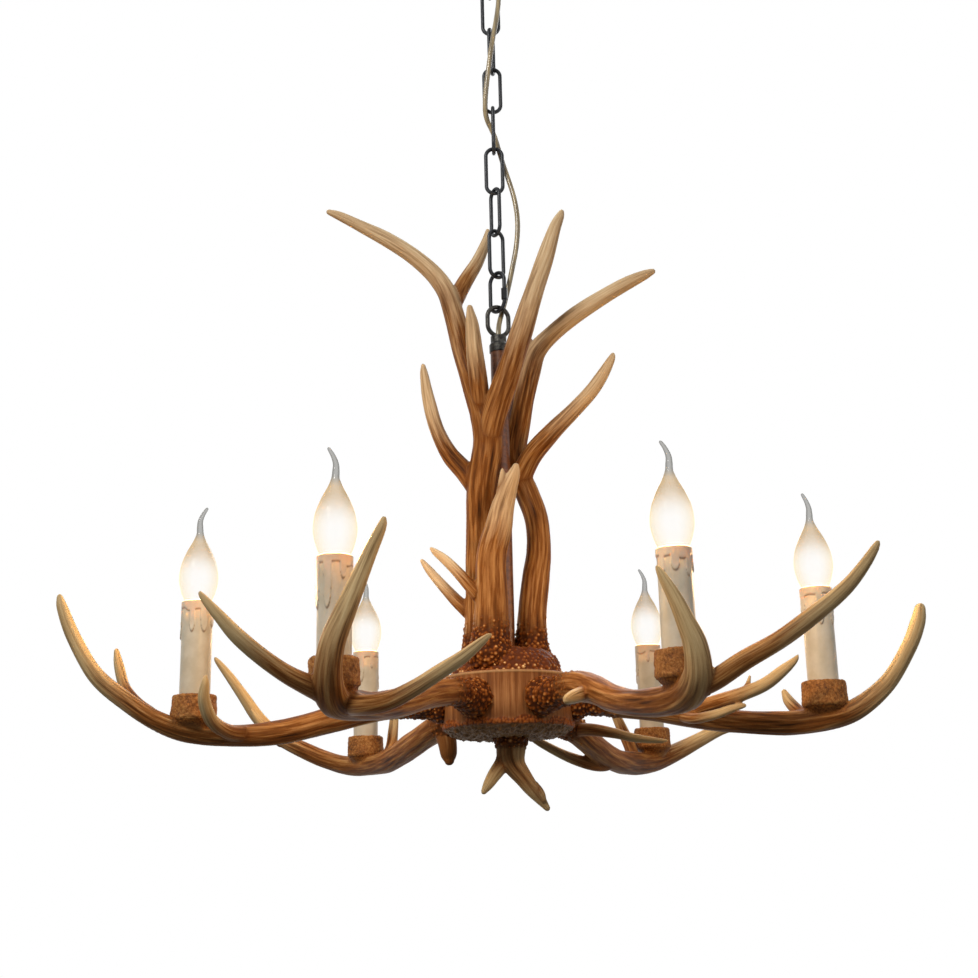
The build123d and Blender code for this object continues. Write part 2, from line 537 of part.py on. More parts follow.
def make_connector(place):
    x, y = place
    z = hub_bottom + COVER_THICKNESS + CONNECTOR_RADIUS
    body = Rot(0, 90, 0) * rod(CONNECTOR_RADIUS, -CONNECTOR_LENGTH / 2, CONNECTOR_LENGTH / 2)
    return Pos(x, y, z) * fillet(body.edges().group_by(Axis.X)[-1], CONNECTOR_RADIUS * 0.6)


# -------------------------------------------------------------------- candles
def candle_axis(arm):
    out, side = arm["candle"]
    angle = math.radians(arm["angle"])
    reach = HUB_RADIUS + out
    x = reach * math.cos(angle) - side * math.sin(angle)
    y = reach * math.sin(angle) + side * math.cos(angle)
    return Pos(x, y, 0)


def sleeve_foot(arm):
    return hub_middle + arm["cup_rise"] - SLEEVE_IN_CUP


def make_cup(arm, casting):
    top = hub_middle + arm["cup_rise"]
    foot = top - CUP_HEIGHT
    block = lathe((0, foot), (CUP_SEAT_RADIUS, foot), (CUP_FOOT_RADIUS, foot + CUP_FOOT_TAPER),
                  (CUP_TOP_RADIUS, top - CUP_EDGE), (CUP_TOP_RADIUS - CUP_EDGE, top), (0, top))
    pocket = rod(SLEEVE_RADIUS + CUP_FIT, sleeve_foot(arm), top + 1)
    stem_hole = rod(HOLDER_STEM_RADIUS + CUP_FIT, foot - 1, sleeve_foot(arm) + 1)
    cup = candle_axis(arm) * (block - pocket - stem_hole) - casting
    return max(cup.solids(), key=lambda solid: solid.volume)


def make_sleeve(arm):
    inner = SLEEVE_RADIUS - SLEEVE_WALL
    return candle_axis(arm) * tube(SLEEVE_RADIUS, inner, sleeve_foot(arm), candle_top)


def make_holder(arm):
    top = candle_top - HOLDER_TOP
    foot = top - HOLDER_HEIGHT
    stem_end = hub_middle + arm["beam_up"] + STEM_SHORT_OF_BEAM
    shell = rod(HOLDER_RADIUS, foot, top) - rod(CAP_RADIUS + CAP_FIT, cap_end, top + 1)
    washer = rod(HOLDER_RADIUS, sleeve_foot(arm), sleeve_foot(arm) + HOLDER_WASHER)
    stem = rod(HOLDER_STEM_RADIUS, stem_end, foot + 1)
    whole = shell + washer + stem - rod(HOLDER_STEM_BORE, stem_end - 1, cap_end + 1)
    return candle_axis(arm) * whole


def make_bulb_cap(arm):
    top = candle_top - GLASS_FOOT
    shell_end = top - CAP_LENGTH
    tip_end = shell_end - CAP_TIP_LENGTH
    return candle_axis(arm) * lathe(
        (0, cap_end), (CONTACT_RADIUS, cap_end), (CONTACT_RADIUS, tip_end),
        (CAP_TIP_RADIUS, tip_end), (CAP_RADIUS, shell_end), (CAP_RADIUS, top), (0, top))


def make_bulb_glass(arm, tail_turn):
    neck_radius, neck_z = GLASS_OUTLINE[0]
    end_radius, end_z = GLASS_OUTLINE[-1]
    outer = [Line((0, neck_z), (neck_radius, neck_z)), Spline(*GLASS_OUTLINE),
             Line((end_radius, end_z), (0, end_z)), Line((0, end_z), (0, neck_z))]
    inner_points = [(radius - GLASS_WALL, z) for radius, z in GLASS_OUTLINE[:-1]]
    inner_points[0] = (inner_points[0][0], neck_z - 1)
    top_radius, top_z = inner_points[-1]
    inner = [Line((0, neck_z - 1), inner_points[0]), Spline(*inner_points),
             Line((top_radius, top_z), (0, top_z)), Line((0, top_z), (0, neck_z - 1))]
    envelope = revolve(Plane.XZ * make_face(outer), Axis.Z)
    hollow = revolve(Plane.XZ * make_face(inner), Axis.Z)
    tail = branch([(shift, 0, z, radius) for shift, z, radius in TAIL_PATH])
    glass = Rot(0, 0, tail_turn) * (envelope - hollow + tail)
    return candle_axis(arm) * Pos(0, 0, candle_top) * glass


# ----------------------------------------------------------------------- cord
def make_cord():
    """The flex: straight runs joined by arcs as large as the runs allow."""
    points = [Vector(*point) for point in CORD_ROUTE]
    radii = []
    for before, corner, after in zip(points, points[1:], points[2:]):
        first = corner - before
        second = after - corner
        half_turn = math.radians(first.get_angle(second)) / 2
        radii.append(0.45 * min(first.length, second.length) / math.tan(half_turn))
    path = FilletPolyline(*points, radius=radii)
    start = Plane(origin=path @ 0, z_dir=path % 0)
    tube_solid = sweep(start * Circle(CORD_DIAMETER / 2), path=path)
    expected = math.pi * (CORD_DIAMETER / 2) ** 2 * path.length
    print("cord radii", " ".join(f"{radius:.0f}" for radius in radii))
    print(f"cord length {path.length:.0f} mm, volume {tube_solid.volume:.0f} of {expected:.0f}")
    return tube_solid


def build():
    save("ceiling_canopy", make_canopy())
    save("ceiling_bracket", make_bracket())
    bracket_top = -BRACKET_DROP
    bracket_under = bracket_top - BRACKET_THICKNESS
    save("bracket_nuts", [hex_nut(bracket_top), hex_nut(bracket_under - NUT_HEIGHT)])
    save("terminal_block", make_terminal_block())
    save("canopy_loop", make_canopy_loop())

    link = oval_link(LINK_WIDTH, LINK_LENGTH, LINK_WIRE)
    for index, turn in enumerate(LINK_TURNS):
        middle = link_top - index * link_pitch - (LINK_LENGTH - LINK_WIRE) / 2
        save(f"chain_link_{index + 1}", Pos(0, 0, middle) * Rot(0, 0, turn) * link)
    quick_body, quick_nut = make_quick_link()
    save("quick_link", quick_body)
    save("quick_link_nut", quick_nut)

    save("lamp_loop", make_lamp_loop())
    save("centre_pipe", tube(PIPE_RADIUS, PIPE_RADIUS - PIPE_WALL, crown_top, pipe_top))
    save("threaded_rod", tube(THREAD_RADIUS, NIPPLE_BORE_RADIUS, hub_bottom - ROD_BELOW_COVER,
                              pipe_top + COLLAR_HEIGHT * 0.5))
    rod_nuts = [hex_nut(hub_top - HUB_TOP - NUT_HEIGHT), hex_nut(hub_bottom + COVER_THICKNESS)]
    save("hub_nuts", rod_nuts + [make_arm_locknut(arm) for arm in ARMS])
    base = make_crown_base()
    save("crown_base", base)
    save("crown_screws", [make_crown_screw(points) for points in CROWN_ANTLERS])
    for index, points in enumerate(CROWN_ANTLERS):
        save(f"crown_antler_{index + 1}", make_crown_antler(points, base))
    save("hub_body", make_hub())
    save("hub_bottom_cover", make_bottom_cover())
    save("finial_antler", make_finial())

    for index, arm in enumerate(ARMS):
        number = index + 1
        casting = make_arm(arm)
        save(f"arm_antler_{number}", casting)
        save(f"cup_{number}", make_cup(arm, casting))
        save(f"candle_sleeve_{number}", make_sleeve(arm))
        save(f"bulb_cap_{number}", make_bulb_cap(arm))
        save(f"bulb_glass_{number}", make_bulb_glass(arm, TAIL_TURNS[index]))
    save("arm_nipples", [make_nipple(arm) for arm in ARMS])
    save("lampholders", [make_holder(arm) for arm in ARMS])
    save("wire_connectors", [make_connector(place) for place in CONNECTOR_PLACES])
    save("cord", make_cord())
    print(f"hub middle {hub_middle:.2f}, sleeve tops {candle_top:.2f}, link pitch {link_pitch:.2f}")


build()
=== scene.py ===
# %% [markdown]
# # An antler chandelier
# The lamp hangs on a short chain. Six antlers stand out of a round hub with a candle each, three
# more rise round the stem, and a small forked one hangs below.
# The measured model comes in first: every piece made here is set on it, in metres, with +Z up.

# %% Load the measured frame
import math
import random

import bpy
import numpy as np
from mathutils import Matrix, Vector
from mathutils.kdtree import KDTree


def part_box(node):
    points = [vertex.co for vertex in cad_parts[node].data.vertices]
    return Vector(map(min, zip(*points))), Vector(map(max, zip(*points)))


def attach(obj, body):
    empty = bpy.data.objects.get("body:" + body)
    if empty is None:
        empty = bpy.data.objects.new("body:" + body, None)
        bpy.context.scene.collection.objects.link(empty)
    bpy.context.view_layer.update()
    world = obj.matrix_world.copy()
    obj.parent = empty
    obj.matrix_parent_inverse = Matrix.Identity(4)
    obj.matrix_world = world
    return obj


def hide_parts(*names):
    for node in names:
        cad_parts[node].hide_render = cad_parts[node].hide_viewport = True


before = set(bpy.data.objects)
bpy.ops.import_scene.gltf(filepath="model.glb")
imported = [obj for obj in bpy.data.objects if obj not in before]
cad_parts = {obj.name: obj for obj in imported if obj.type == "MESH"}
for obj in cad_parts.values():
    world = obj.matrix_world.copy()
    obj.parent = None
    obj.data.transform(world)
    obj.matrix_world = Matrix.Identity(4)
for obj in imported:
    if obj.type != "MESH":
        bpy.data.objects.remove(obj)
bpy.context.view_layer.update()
MM = 0.001

# %% [markdown]
# ## The camera
# The photograph was taken from a little below the hub, looking up. The camera's place was worked
# out from the six candle tops, which lie in one level plane, and from the verticals. It is rolled
# by a degree, as a hand-held one is.

# %% Camera
CAMERA_PLACE = (-0.01304, -1.2856, -0.99855)
CAMERA_PITCH_UP = 15.2
CAMERA_ROLL = -1.29


def show(name, data):
    """An object in the scene for a camera, a curve, a mesh or a lamp."""
    thing = bpy.data.objects.new(name, data)
    bpy.context.collection.objects.link(thing)
    return thing


camera_data = bpy.data.cameras.new("camera")
camera_data.lens = 50
camera_data.sensor_width = 36
camera = show("camera", camera_data)
camera.matrix_world = (Matrix.Translation(CAMERA_PLACE)
                       @ Matrix.Rotation(math.radians(90 + CAMERA_PITCH_UP), 4, "X")
                       @ Matrix.Rotation(math.radians(CAMERA_ROLL), 4, "Z"))
bpy.context.scene.camera = camera
print("camera at", CAMERA_PLACE)

# %% [markdown]
# ## The flex
# A round flex leaves the loop under the ceiling cup, hangs beside the chain, passes through one
# link and goes down into the collar on the stem. A NURBS curve suits it: the points pull on the
# line without making it turn sharply.

# %% The flex's route
FLEX_DIAMETER = 5.4
FLEX_ROUTE = (
    (0, 0, -54), (0, 0, -68), (7, -3, -82), (10, -9, -100), (7, -10.5, -126),
    (1, -15, -160), (-4.5, -13, -198), (-8, -9, -226), (-8, -4, -244), (0, 0.5, -259),
    (5, 5, -276), (9.5, 7.5, -293), (15, 7, -312), (20.5, 5, -334), (23.5, 3, -360),
    (21.5, 3, -388), (16, 4.5, -414), (10.5, 7, -438), (5, 9.5, -458), (1, 4, -474),
    (0, 0, -485), (0, 0, -498),
)

flex_curve = bpy.data.curves.new("flex", "CURVE")
flex_curve.dimensions = "3D"
flex_curve.bevel_depth = 1    # times each point's own radius, below
flex_curve.bevel_resolution = 6
flex_curve.resolution_u = 12
flex_spline = flex_curve.splines.new("NURBS")
flex_spline.points.add(len(FLEX_ROUTE) - 1)
for control, place in zip(flex_spline.points, FLEX_ROUTE):
    control.co = (place[0] * MM, place[1] * MM, place[2] * MM, 1)
    control.radius = FLEX_DIAMETER / 2 * MM
flex_spline.order_u = 3
flex_spline.use_endpoint_u = True
flex = show("flex", flex_curve)
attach(flex, "chain")
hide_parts("cord")
print("flex laid through", len(FLEX_ROUTE), "points")

# %% [markdown]
# ## Writing materials
# Every finish below is a small node graph. A colour is written as the eye picks it, in screen
# values, and turned into the linear numbers that Blender works in. A node's output is wrapped as a
# wire, so that a sum of textures reads like any other sum: each sign adds a math node.

# %% Colours, nodes and wires
def linear(*screen):
    """A colour given as 0-255 screen values, as linear light."""
    parts = [value / 255 for value in screen]
    return (*(v / 12.92 if v <= 0.04045 else ((v + 0.055) / 1.055) ** 2.4 for v in parts), 1.0)


def feed(socket, value):
    """Joins a wire to a socket, or sets the socket to a plain value."""
    if isinstance(value, Wire):
        socket.id_data.links.new(value.socket, socket)
    else:
        socket.default_value = value


def make(tree, kind, inputs=(), output=0, **settings):
    """A node with its settings made and its inputs fed; gives the wire from one output."""
    node = tree.nodes.new("ShaderNode" + kind)
    for name, value in settings.items():
        setattr(node, name, value)
    for name, value in dict(inputs).items():
        feed(node.inputs[name], value)
    return Wire(node.outputs[output])


class Wire:
    """A node's output that can be reckoned with like a number."""

    def __init__(self, socket):
        self.socket = socket
        self.tree = socket.id_data

    def math(self, operation, other, clamp=False):
        return make(self.tree, "Math", {0: self, 1: other}, operation=operation, use_clamp=clamp)

    def __add__(self, other):
        return self.math("ADD", other)

    def __sub__(self, other):
        return self.math("SUBTRACT", other)

    def __rsub__(self, other):
        return make(self.tree, "Math", {0: other, 1: self}, operation="SUBTRACT")

    def __mul__(self, other):
        return self.math("MULTIPLY", other)


print("wires ready")

# %% Texture helpers
def fill(shader, **values):
    for name, value in values.items():
        feed(shader.inputs[name.replace("_", " ")], value)


def new_material(name, **constants):
    """A material, its node tree and its shader, with the shader's plain values set."""
    material = bpy.data.materials.new(name)
    material.use_nodes = True
    shader = material.node_tree.nodes["Principled BSDF"]
    fill(shader, **constants)
    return material, material.node_tree, shader


def ramp(source, *stops):
    """A ramp through stops: (position, red, green, blue) on screen, or (position, amount)."""
    node = source.tree.nodes.new("ShaderNodeValToRGB")
    elements = node.color_ramp.elements
    while len(elements) < len(stops):
        elements.new(0.5)
    for element, (position, *tone) in zip(elements, stops):
        element.position = position
        element.color = linear(*tone) if len(tone) == 3 else (*tone * 3, 1)
    feed(node.inputs["Fac"], source)
    return Wire(node.outputs["Color"])


def mix(factor, *colours):
    first, second = (linear(*c) if isinstance(c, tuple) else c for c in colours)
    return make(factor.tree, "Mix", {0: factor, 6: first, 7: second}, 2, data_type="RGBA")


def attribute(tree, name, output="Fac"):
    return make(tree, "Attribute", output=output, attribute_name=name)


def noise(vector, scale, detail=4, roughness=0.55):
    return make(vector.tree, "TexNoise", {"Vector": vector, "Scale": scale, "Detail": detail,
                                          "Roughness": roughness}, "Fac")


def stretched(vector, *scale):
    return make(vector.tree, "Mapping", {"Vector": vector, "Scale": scale})


def bump(shader, height, distance, strength=1):
    fill(shader, Normal=make(height.tree, "Bump", {"Height": height, "Distance": distance,
                                                   "Strength": strength}))


def object_place(tree):
    return make(tree, "TexCoord", output="Object")


print("texture helpers ready")

# %% [markdown]
# ## Antler resin
# The antlers are cast in resin and stained by hand: red-brown on the beams, dark in the grooves,
# and wiped back to a greenish bone colour at the tips. Each mesh carries numbers for this, such as
# how near a tip a spot is, how high it stands on its ridge, and a grain coordinate that runs along
# the branch, so that streaks follow every bend.

# %% Antler material
ARM_BONE = ((0.05, 114, 90, 58), (0.45, 188, 158, 113), (0.95, 220, 198, 152))
CROWN_BONE = ((0.05, 140, 109, 77), (0.45, 206, 174, 134), (0.95, 238, 217, 178))


def antler_material(name, bone_tones):
    material, tree, shader = new_material(name, Roughness=0.48, Specular_IOR_Level=0.06)
    grain = attribute(tree, "grain", "Vector")
    tip = attribute(tree, "tip")
    streaks = noise(stretched(grain, 150, 150, 16), 1, 5, 0.62)
    hairs = noise(stretched(grain, 560, 560, 30), 1, 3, 0.6)
    patches = noise(stretched(grain, 30, 30, 8), 1, 3, 0.5)
    level = ((streaks - 0.5) * 1.1 + (hairs - 0.5) * 0.9 + (patches - 0.5) * 0.8
             + (attribute(tree, "relief") - 0.5) * 0.5 + 0.56)
    stained = ramp(level, (0.08, 58, 32, 13), (0.42, 126, 77, 35), (0.74, 180, 129, 76),
                   (1, 214, 176, 126))
    reach = ramp(tip + (streaks - 0.5) * 0.8, (0.12, 0), (0.7, 1))
    colour = mix(reach, stained, ramp(level, *bone_tones))
    # Near a fork the colour is pulled toward dark brown: painted shade in the crotches between
    # branches.
    colour = mix(attribute(tree, "web") * 0.72, colour, (108, 62, 27))
    # The burr crust runs from dark brown between the beads to pale cream on their tops: the pale
    # tops are a painted highlight.
    crust = ramp(attribute(tree, "pearl"), (0, 66, 31, 9), (0.55, 116, 62, 21),
                 (0.8, 158, 100, 47), (1, 212, 172, 116))
    colour = mix(attribute(tree, "crust"), colour, crust)
    specks = noise(object_place(tree), 520, 4, 0.65)
    rust = ramp(specks, (0.36, 84, 46, 19), (0.62, 150, 96, 46))
    fill(shader, Base_Color=mix(attribute(tree, "rust"), colour, rust))
    pores = noise(stretched(grain, 420, 420, 30), 1, 3)
    bump(shader, pores * (1 - tip * 0.9), 0.0005, 0.45)
    return material


antler_brown = antler_material("antler_resin", ARM_BONE)
crown_brown = antler_material("crown_resin", CROWN_BONE)
print("resin mixed")

# %% [markdown]
# ## Growing a branch
# A branch is drawn as a few points with a radius each. A Catmull-Rom line passes through
# them all and needs no handles. A frame is carried along it, so that "round the branch" never
# twists. The tube, the ridges and the grain all use that frame.

# %% Lines and tubes
def smooth_line(points, step=2):
    """Rows of (x, y, z, radius), about step apart, through the given points."""
    rows = np.array(points, float)
    rows = np.vstack([2 * rows[0] - rows[1], rows, 2 * rows[-1] - rows[-2]])
    pieces = []
    for a, b, c, d in zip(rows, rows[1:], rows[2:], rows[3:]):
        count = max(2, int(np.linalg.norm(c[:3] - b[:3]) / step))
        t = np.linspace(0, 1, count, endpoint=False)[:, None]
        pieces.append(0.5 * (2 * b + (c - a) * t + (2 * a - 5 * b + 4 * c - d) * t ** 2
                             + (3 * b - a - 3 * c + d) * t ** 3))
    line = np.vstack(pieces + [rows[-2:-1]])
    line[:, 3] = np.maximum(line[:, 3], 0.5)
    return line


def carried_frame(line):
    """Length, direction and two crosswise directions at each row of the line."""
    places = line[:, :3]
    along = np.gradient(places, axis=0)
    along /= np.linalg.norm(along, axis=1)[:, None]
    length = np.concatenate([[0], np.cumsum(np.linalg.norm(np.diff(places, axis=0), axis=1))])
    side = np.zeros_like(along)
    start = np.cross(along[0], (0.31, 0.17, 0.93))
    for index, direction in enumerate(along):
        start = start - direction * np.dot(start, direction)
        start = start / np.linalg.norm(start)
        side[index] = start
    return length, along, side, np.cross(along, side)


def ring_quads(rings, sides):
    """Faces between rings of corners that lie one after the other."""
    return [(low + k, low + (k + 1) % sides, low + sides + (k + 1) % sides, low + sides + k)
            for low in range(0, (rings - 1) * sides, sides) for k in range(sides)]


def tube_shell(line, sides=26):
    """Corners and faces of a closed tube along the line, with a rounded tip."""
    _, along, side, other = carried_frame(line)
    angles = np.linspace(0, 2 * math.pi, sides, endpoint=False)
    rows = [(row[:3], side[i], other[i], row[3]) for i, row in enumerate(line)]
    tip, thick = line[-1, :3], line[-1, 3]
    for reach, share in ((0.5, 0.85), (0.85, 0.5)):
        rows.append((tip + along[-1] * thick * reach, side[-1], other[-1], thick * share))
    corners = [middle + radius * (math.cos(a) * x + math.sin(a) * y)
               for middle, x, y, radius in rows for a in angles]
    first, last = len(corners), len(corners) + 1
    corners += [line[0, :3], tip + along[-1] * thick]
    faces = ring_quads(len(rows), sides)
    top = (len(rows) - 1) * sides
    for k in range(sides):
        nxt = (k + 1) % sides
        faces += [(first, nxt, k), (last, top + k, top + nxt)]
    return corners, faces


print("a straight 40 mm line:", len(smooth_line([(0, 0, 0, 3), (0, 0, 40, 3)])), "rows")

# %% [markdown]
# ## Fusing tines into a beam
# Real tines flow into the beam with a soft web, which separate tubes can't give. A voxel remesh
# melts an antler's tubes into one skin, and a light smoothing rounds the webs. The skin can then
# be carved vertex by vertex.

# %% Fuse
VOXEL = 1.1


def joined(shells):
    """Several shells as one list of corners and one of faces."""
    corners, faces = [], []
    for shell_corners, shell_faces in shells:
        base = len(corners)
        corners.extend(shell_corners)
        faces.extend(tuple(base + i for i in face) for face in shell_faces)
    return corners, faces


def fused(shells, voxel):
    """One mesh, in millimetres, from several overlapping closed shells."""
    corners, faces = joined(shells)
    rough = bpy.data.meshes.new("rough")
    rough.from_pydata(corners, [], faces)
    holder = show("rough", rough)
    remesh = holder.modifiers.new("skin", "REMESH")
    remesh.voxel_size = voxel
    soften = holder.modifiers.new("soften", "SMOOTH")
    soften.iterations = 5
    graph = bpy.context.evaluated_depsgraph_get()
    mesh = bpy.data.meshes.new_from_object(holder.evaluated_get(graph))
    bpy.data.objects.remove(holder)
    bpy.data.meshes.remove(rough)
    return mesh


def store(mesh, **values):
    """Numbers kept on the vertices, for the material to read."""
    for name, numbers in values.items():
        kind, field = ("FLOAT_VECTOR", "vector") if numbers.ndim == 2 else ("FLOAT", "value")
        layer = mesh.attributes.new(name, kind, "POINT")
        layer.data.foreach_set(field, numbers.astype(np.float32).ravel())


def finished(name, mesh, places, material, body, slot, *nodes):
    """Puts the carved places back in metres and sets the piece on the model."""
    mesh.vertices.foreach_set("co", (places * MM).astype(np.float32).ravel())
    mesh.shade_smooth()
    mesh.materials.append(material)
    mesh.update()
    piece = show(name, mesh)
    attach(piece, body)
    if nodes:
        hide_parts(*nodes)
    return piece


print("voxel size", VOXEL, "mm")

# %% [markdown]
# ## Ridges, and the pearls at a burr
# Grooves run along an antler and fade towards the tips, and a burr is crusted with small beads.
# Each vertex finds its branch, and its distance along and angle round that branch give the height
# of the ridge there. Beads are half balls raised out of the skin, with a painted highlight on top.

# %% Ridges
BEAM_FIRST = 1.6        # a place this little nearer to a tine still takes the beam's grain
WEB_WIDTH = 2.2         # how far the web at a fork reaches
AT_ONCE = 4000          # places looked up together, to spare memory


def nearest_branch(places, lines):
    """Per place: branch, radius, distance along, angle round, branch length, nearness to a fork."""
    rows = []
    for number, line in enumerate(lines):
        length, _, side, other = carried_frame(line)
        whole = np.tile((length[-1], number), (len(line), 1))
        rows.append(np.column_stack([line, length, side, other, whole]))
    starts = np.cumsum([0] + [len(line) for line in lines[:-1]])
    rows = np.vstack(rows)
    pick, web = np.empty(len(places), int), np.zeros(len(places))
    for start in range(0, len(places), AT_ONCE):
        part = slice(start, start + AT_ONCE)
        gap = np.linalg.norm(places[part, None, :] - rows[None, :, :3], axis=2) - rows[None, :, 3]
        gap[:, rows[:, 12] == 0] -= BEAM_FIRST
        pick[part] = gap.argmin(axis=1)
        nearest = np.sort(np.minimum.reduceat(gap, starts, axis=1), axis=1)
        # Nearness to a fork: it softens the ridges there, and the material paints crease shade with
        # it.
        web[part] = np.exp((nearest[:, 0] - nearest[:, 1]) / WEB_WIDTH)
    near = rows[pick]
    offset = places - near[:, :3]
    across = np.einsum("ij,ij->i", offset, near[:, 5:8])
    upward = np.einsum("ij,ij->i", offset, near[:, 8:11])
    return near[:, 12], near[:, 3], near[:, 4], np.arctan2(upward, across), near[:, 11], web


def ridges(angle, distance, branch, seed, radius=12):
    """Height of the grain, 0 in a groove to 1 on a ridge. A thin branch has fewer grooves."""
    phase = seed + 1.7 * branch
    coarse = np.zeros_like(angle)
    for count, weight, drift in ((7, 0.5, 60), (11, 0.6, 45), (17, 0.5, 38), (27, 0.35, 30)):
        turns, shift = distance / drift, phase + count
        sway = np.sin(turns * 2.1 + shift) + 0.6 * np.sin(turns * 5.3 + 2 * shift)
        turn = count * angle + 1.2 * sway
        strength = 0.6 + 0.4 * np.sin(distance / (drift * 0.9) + count * phase)
        room = np.clip(math.pi * radius / (VOXEL * count) - 0.5, 0, 1)
        coarse += weight * room * strength * (1 - 2 * np.abs(np.sin(turn / 2)))
    return np.clip(0.5 + 0.42 * coarse, 0, 1)


def fade(value, low, high):
    t = np.clip((value - low) / (high - low), 0, 1)
    return t * t * (3 - 2 * t)


def raise_pearls(places, normals, beads, lift, rng=None):
    """Half balls raised at the (centre, size) beads; new places, and each vertex's painted
    highlight.
    """
    centres, sizes = zip(*beads)
    shine = [rng.uniform(0.55, 1) if rng else 1 for _ in beads]
    tree = KDTree(len(beads))
    for index, centre in enumerate(centres):
        tree.insert(centre, index)
    tree.balance()
    height, share = np.zeros((2, len(places)))
    low, high = np.min(centres, axis=0) - max(sizes), np.max(centres, axis=0) + max(sizes)
    for index in np.nonzero(((places >= low) & (places <= high)).all(axis=1))[0]:
        _, which, gap = tree.find(places[index])
        if gap < sizes[which]:
            rise = math.sqrt(1 - (gap / sizes[which]) ** 2)
            height[index] = rise * sizes[which] * lift
            share[index] = rise * shine[which]
    return places + normals * height[:, None], share


print("ridge heights", ridges(np.array([0.0, 1.0]), np.array([5.0, 50.0]), 0, 1.0).round(2))

# %% [markdown]
# ## One antler from its branches
# One function makes every antler's skin from its branches. Tips get paler over the last part of
# each branch, and a burr's beads thin out along the beam.

# %% Carve an antler
GROOVE_DEPTH = 0.9


def spread_beads(places, chance, spacing, rng):
    """Skin places picked at random, no two closer than the spacing; chance is per place."""
    order = [i for i in np.nonzero(chance > 0)[0] if rng.random() < chance[i]]
    rng.shuffle(order)
    chosen = []
    for index in order:
        gaps = places[chosen] - places[index]
        if (np.einsum("ij,ij->i", gaps, gaps) >= spacing * spacing).all():
            chosen.append(index)
    return chosen


def carve_antler(lines, seed, burr_full, burr_reach, extra_shells=(), tip_share=0.46, voxel=VOXEL,
                 dark_tines=(), least_tip=0, cup=None):
    mesh = fused([tube_shell(line) for line in lines] + list(extra_shells), voxel)
    places, normals = np.empty((2, len(mesh.vertices) * 3))
    mesh.vertices.foreach_get("co", places)
    mesh.vertex_normals.foreach_get("vector", normals)
    places, normals = places.reshape(-1, 3), normals.reshape(-1, 3)
    branch, radius, distance, angle, reach, web = nearest_branch(places, lines)
    relief = ridges(angle, distance, branch, seed, radius)
    relief = relief + (0.5 - relief) * np.clip(1.15 * web, 0, 1)
    to_tip = 1 - distance / reach
    tip = 1 - fade(to_tip, 0.02, np.where(branch == 0, tip_share * 0.9, tip_share + 0.3))
    # Shaded tines keep no pale tip and take the full painted crease shade.
    dark = np.isin(branch, dark_tines)
    tip = np.maximum(np.where(dark, 0, tip), least_tip)
    web = np.where(dark, np.maximum(web, 0.9), web)
    depth = GROOVE_DEPTH * np.clip(radius / 11, 0.25, 1.15) * (1 - 0.55 * tip)
    swell = 0.6 * np.sin(distance / 17 + seed) * np.sin(2 * angle + distance / 40)
    swell = swell * np.clip(radius / 12, 0.2, 1)
    places = places + normals * ((relief - 0.62) * depth + swell)[:, None]
    rng = random.Random(int(seed * 100))
    crust = np.where(branch == 0, 1 - fade(distance, burr_full, burr_reach), 0)
    chosen = spread_beads(places, np.clip(crust * 1.1, 0, 1) ** 1.5 * 0.2, 2.9, rng)
    beads = [(places[i], rng.uniform(1.1, 2.4) * (0.7 + 0.3 * crust[i])) for i in chosen]
    places, pearl = raise_pearls(places, normals, beads, 0.85, rng)
    crust = np.clip(crust * 1.15 + 0.5 * pearl * (crust > 0), 0, 1)
    rust = np.zeros(len(places))
    if cup is not None:
        off = np.linalg.norm(places[:, :2] - np.array(cup[:2]), axis=1)
        rust = (1 - fade(off, 19.5, 24)) * fade(places[:, 2], cup[2] - 13, cup[2] - 4)
    grain = np.column_stack([np.cos(angle) * 0.011 + 0.09 * branch, np.sin(angle) * 0.011,
                             distance * MM])
    store(mesh, tip=tip, relief=relief, pearl=pearl, grain=grain, web=web, crust=crust, rust=rust)
    return mesh, places


print("grooves up to", GROOVE_DEPTH, "mm deep")

# %% [markdown]
# ## The six arm antlers
# Each point of an arm is written as a distance out from the hub's wall, sideways to the left, and
# up, with the branch's radius there. The first branch is the beam, the others are its tines. A
# thick disc at the root is the burr that sits against the hub.

# %% Arm antlers: points
HUB_RADIUS = 61
HUB_HEIGHT = 48


def branches(block):
    """Branches end with a semicolon. Their points, with four numbers each, end with a comma."""
    return [[tuple(map(float, point.split())) for point in branch.split(",")]
            for branch in block.split(";")]


def spot(node):
    """Where a measured piece stands, in mm: its middle in x and y, its top and its foot."""
    low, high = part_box(node)
    return (low.x + high.x) / 2 / MM, (low.y + high.y) / 2 / MM, high.z / MM, low.z / MM


hub_top = spot("hub_body")[2]
hub_middle = hub_top - HUB_HEIGHT / 2

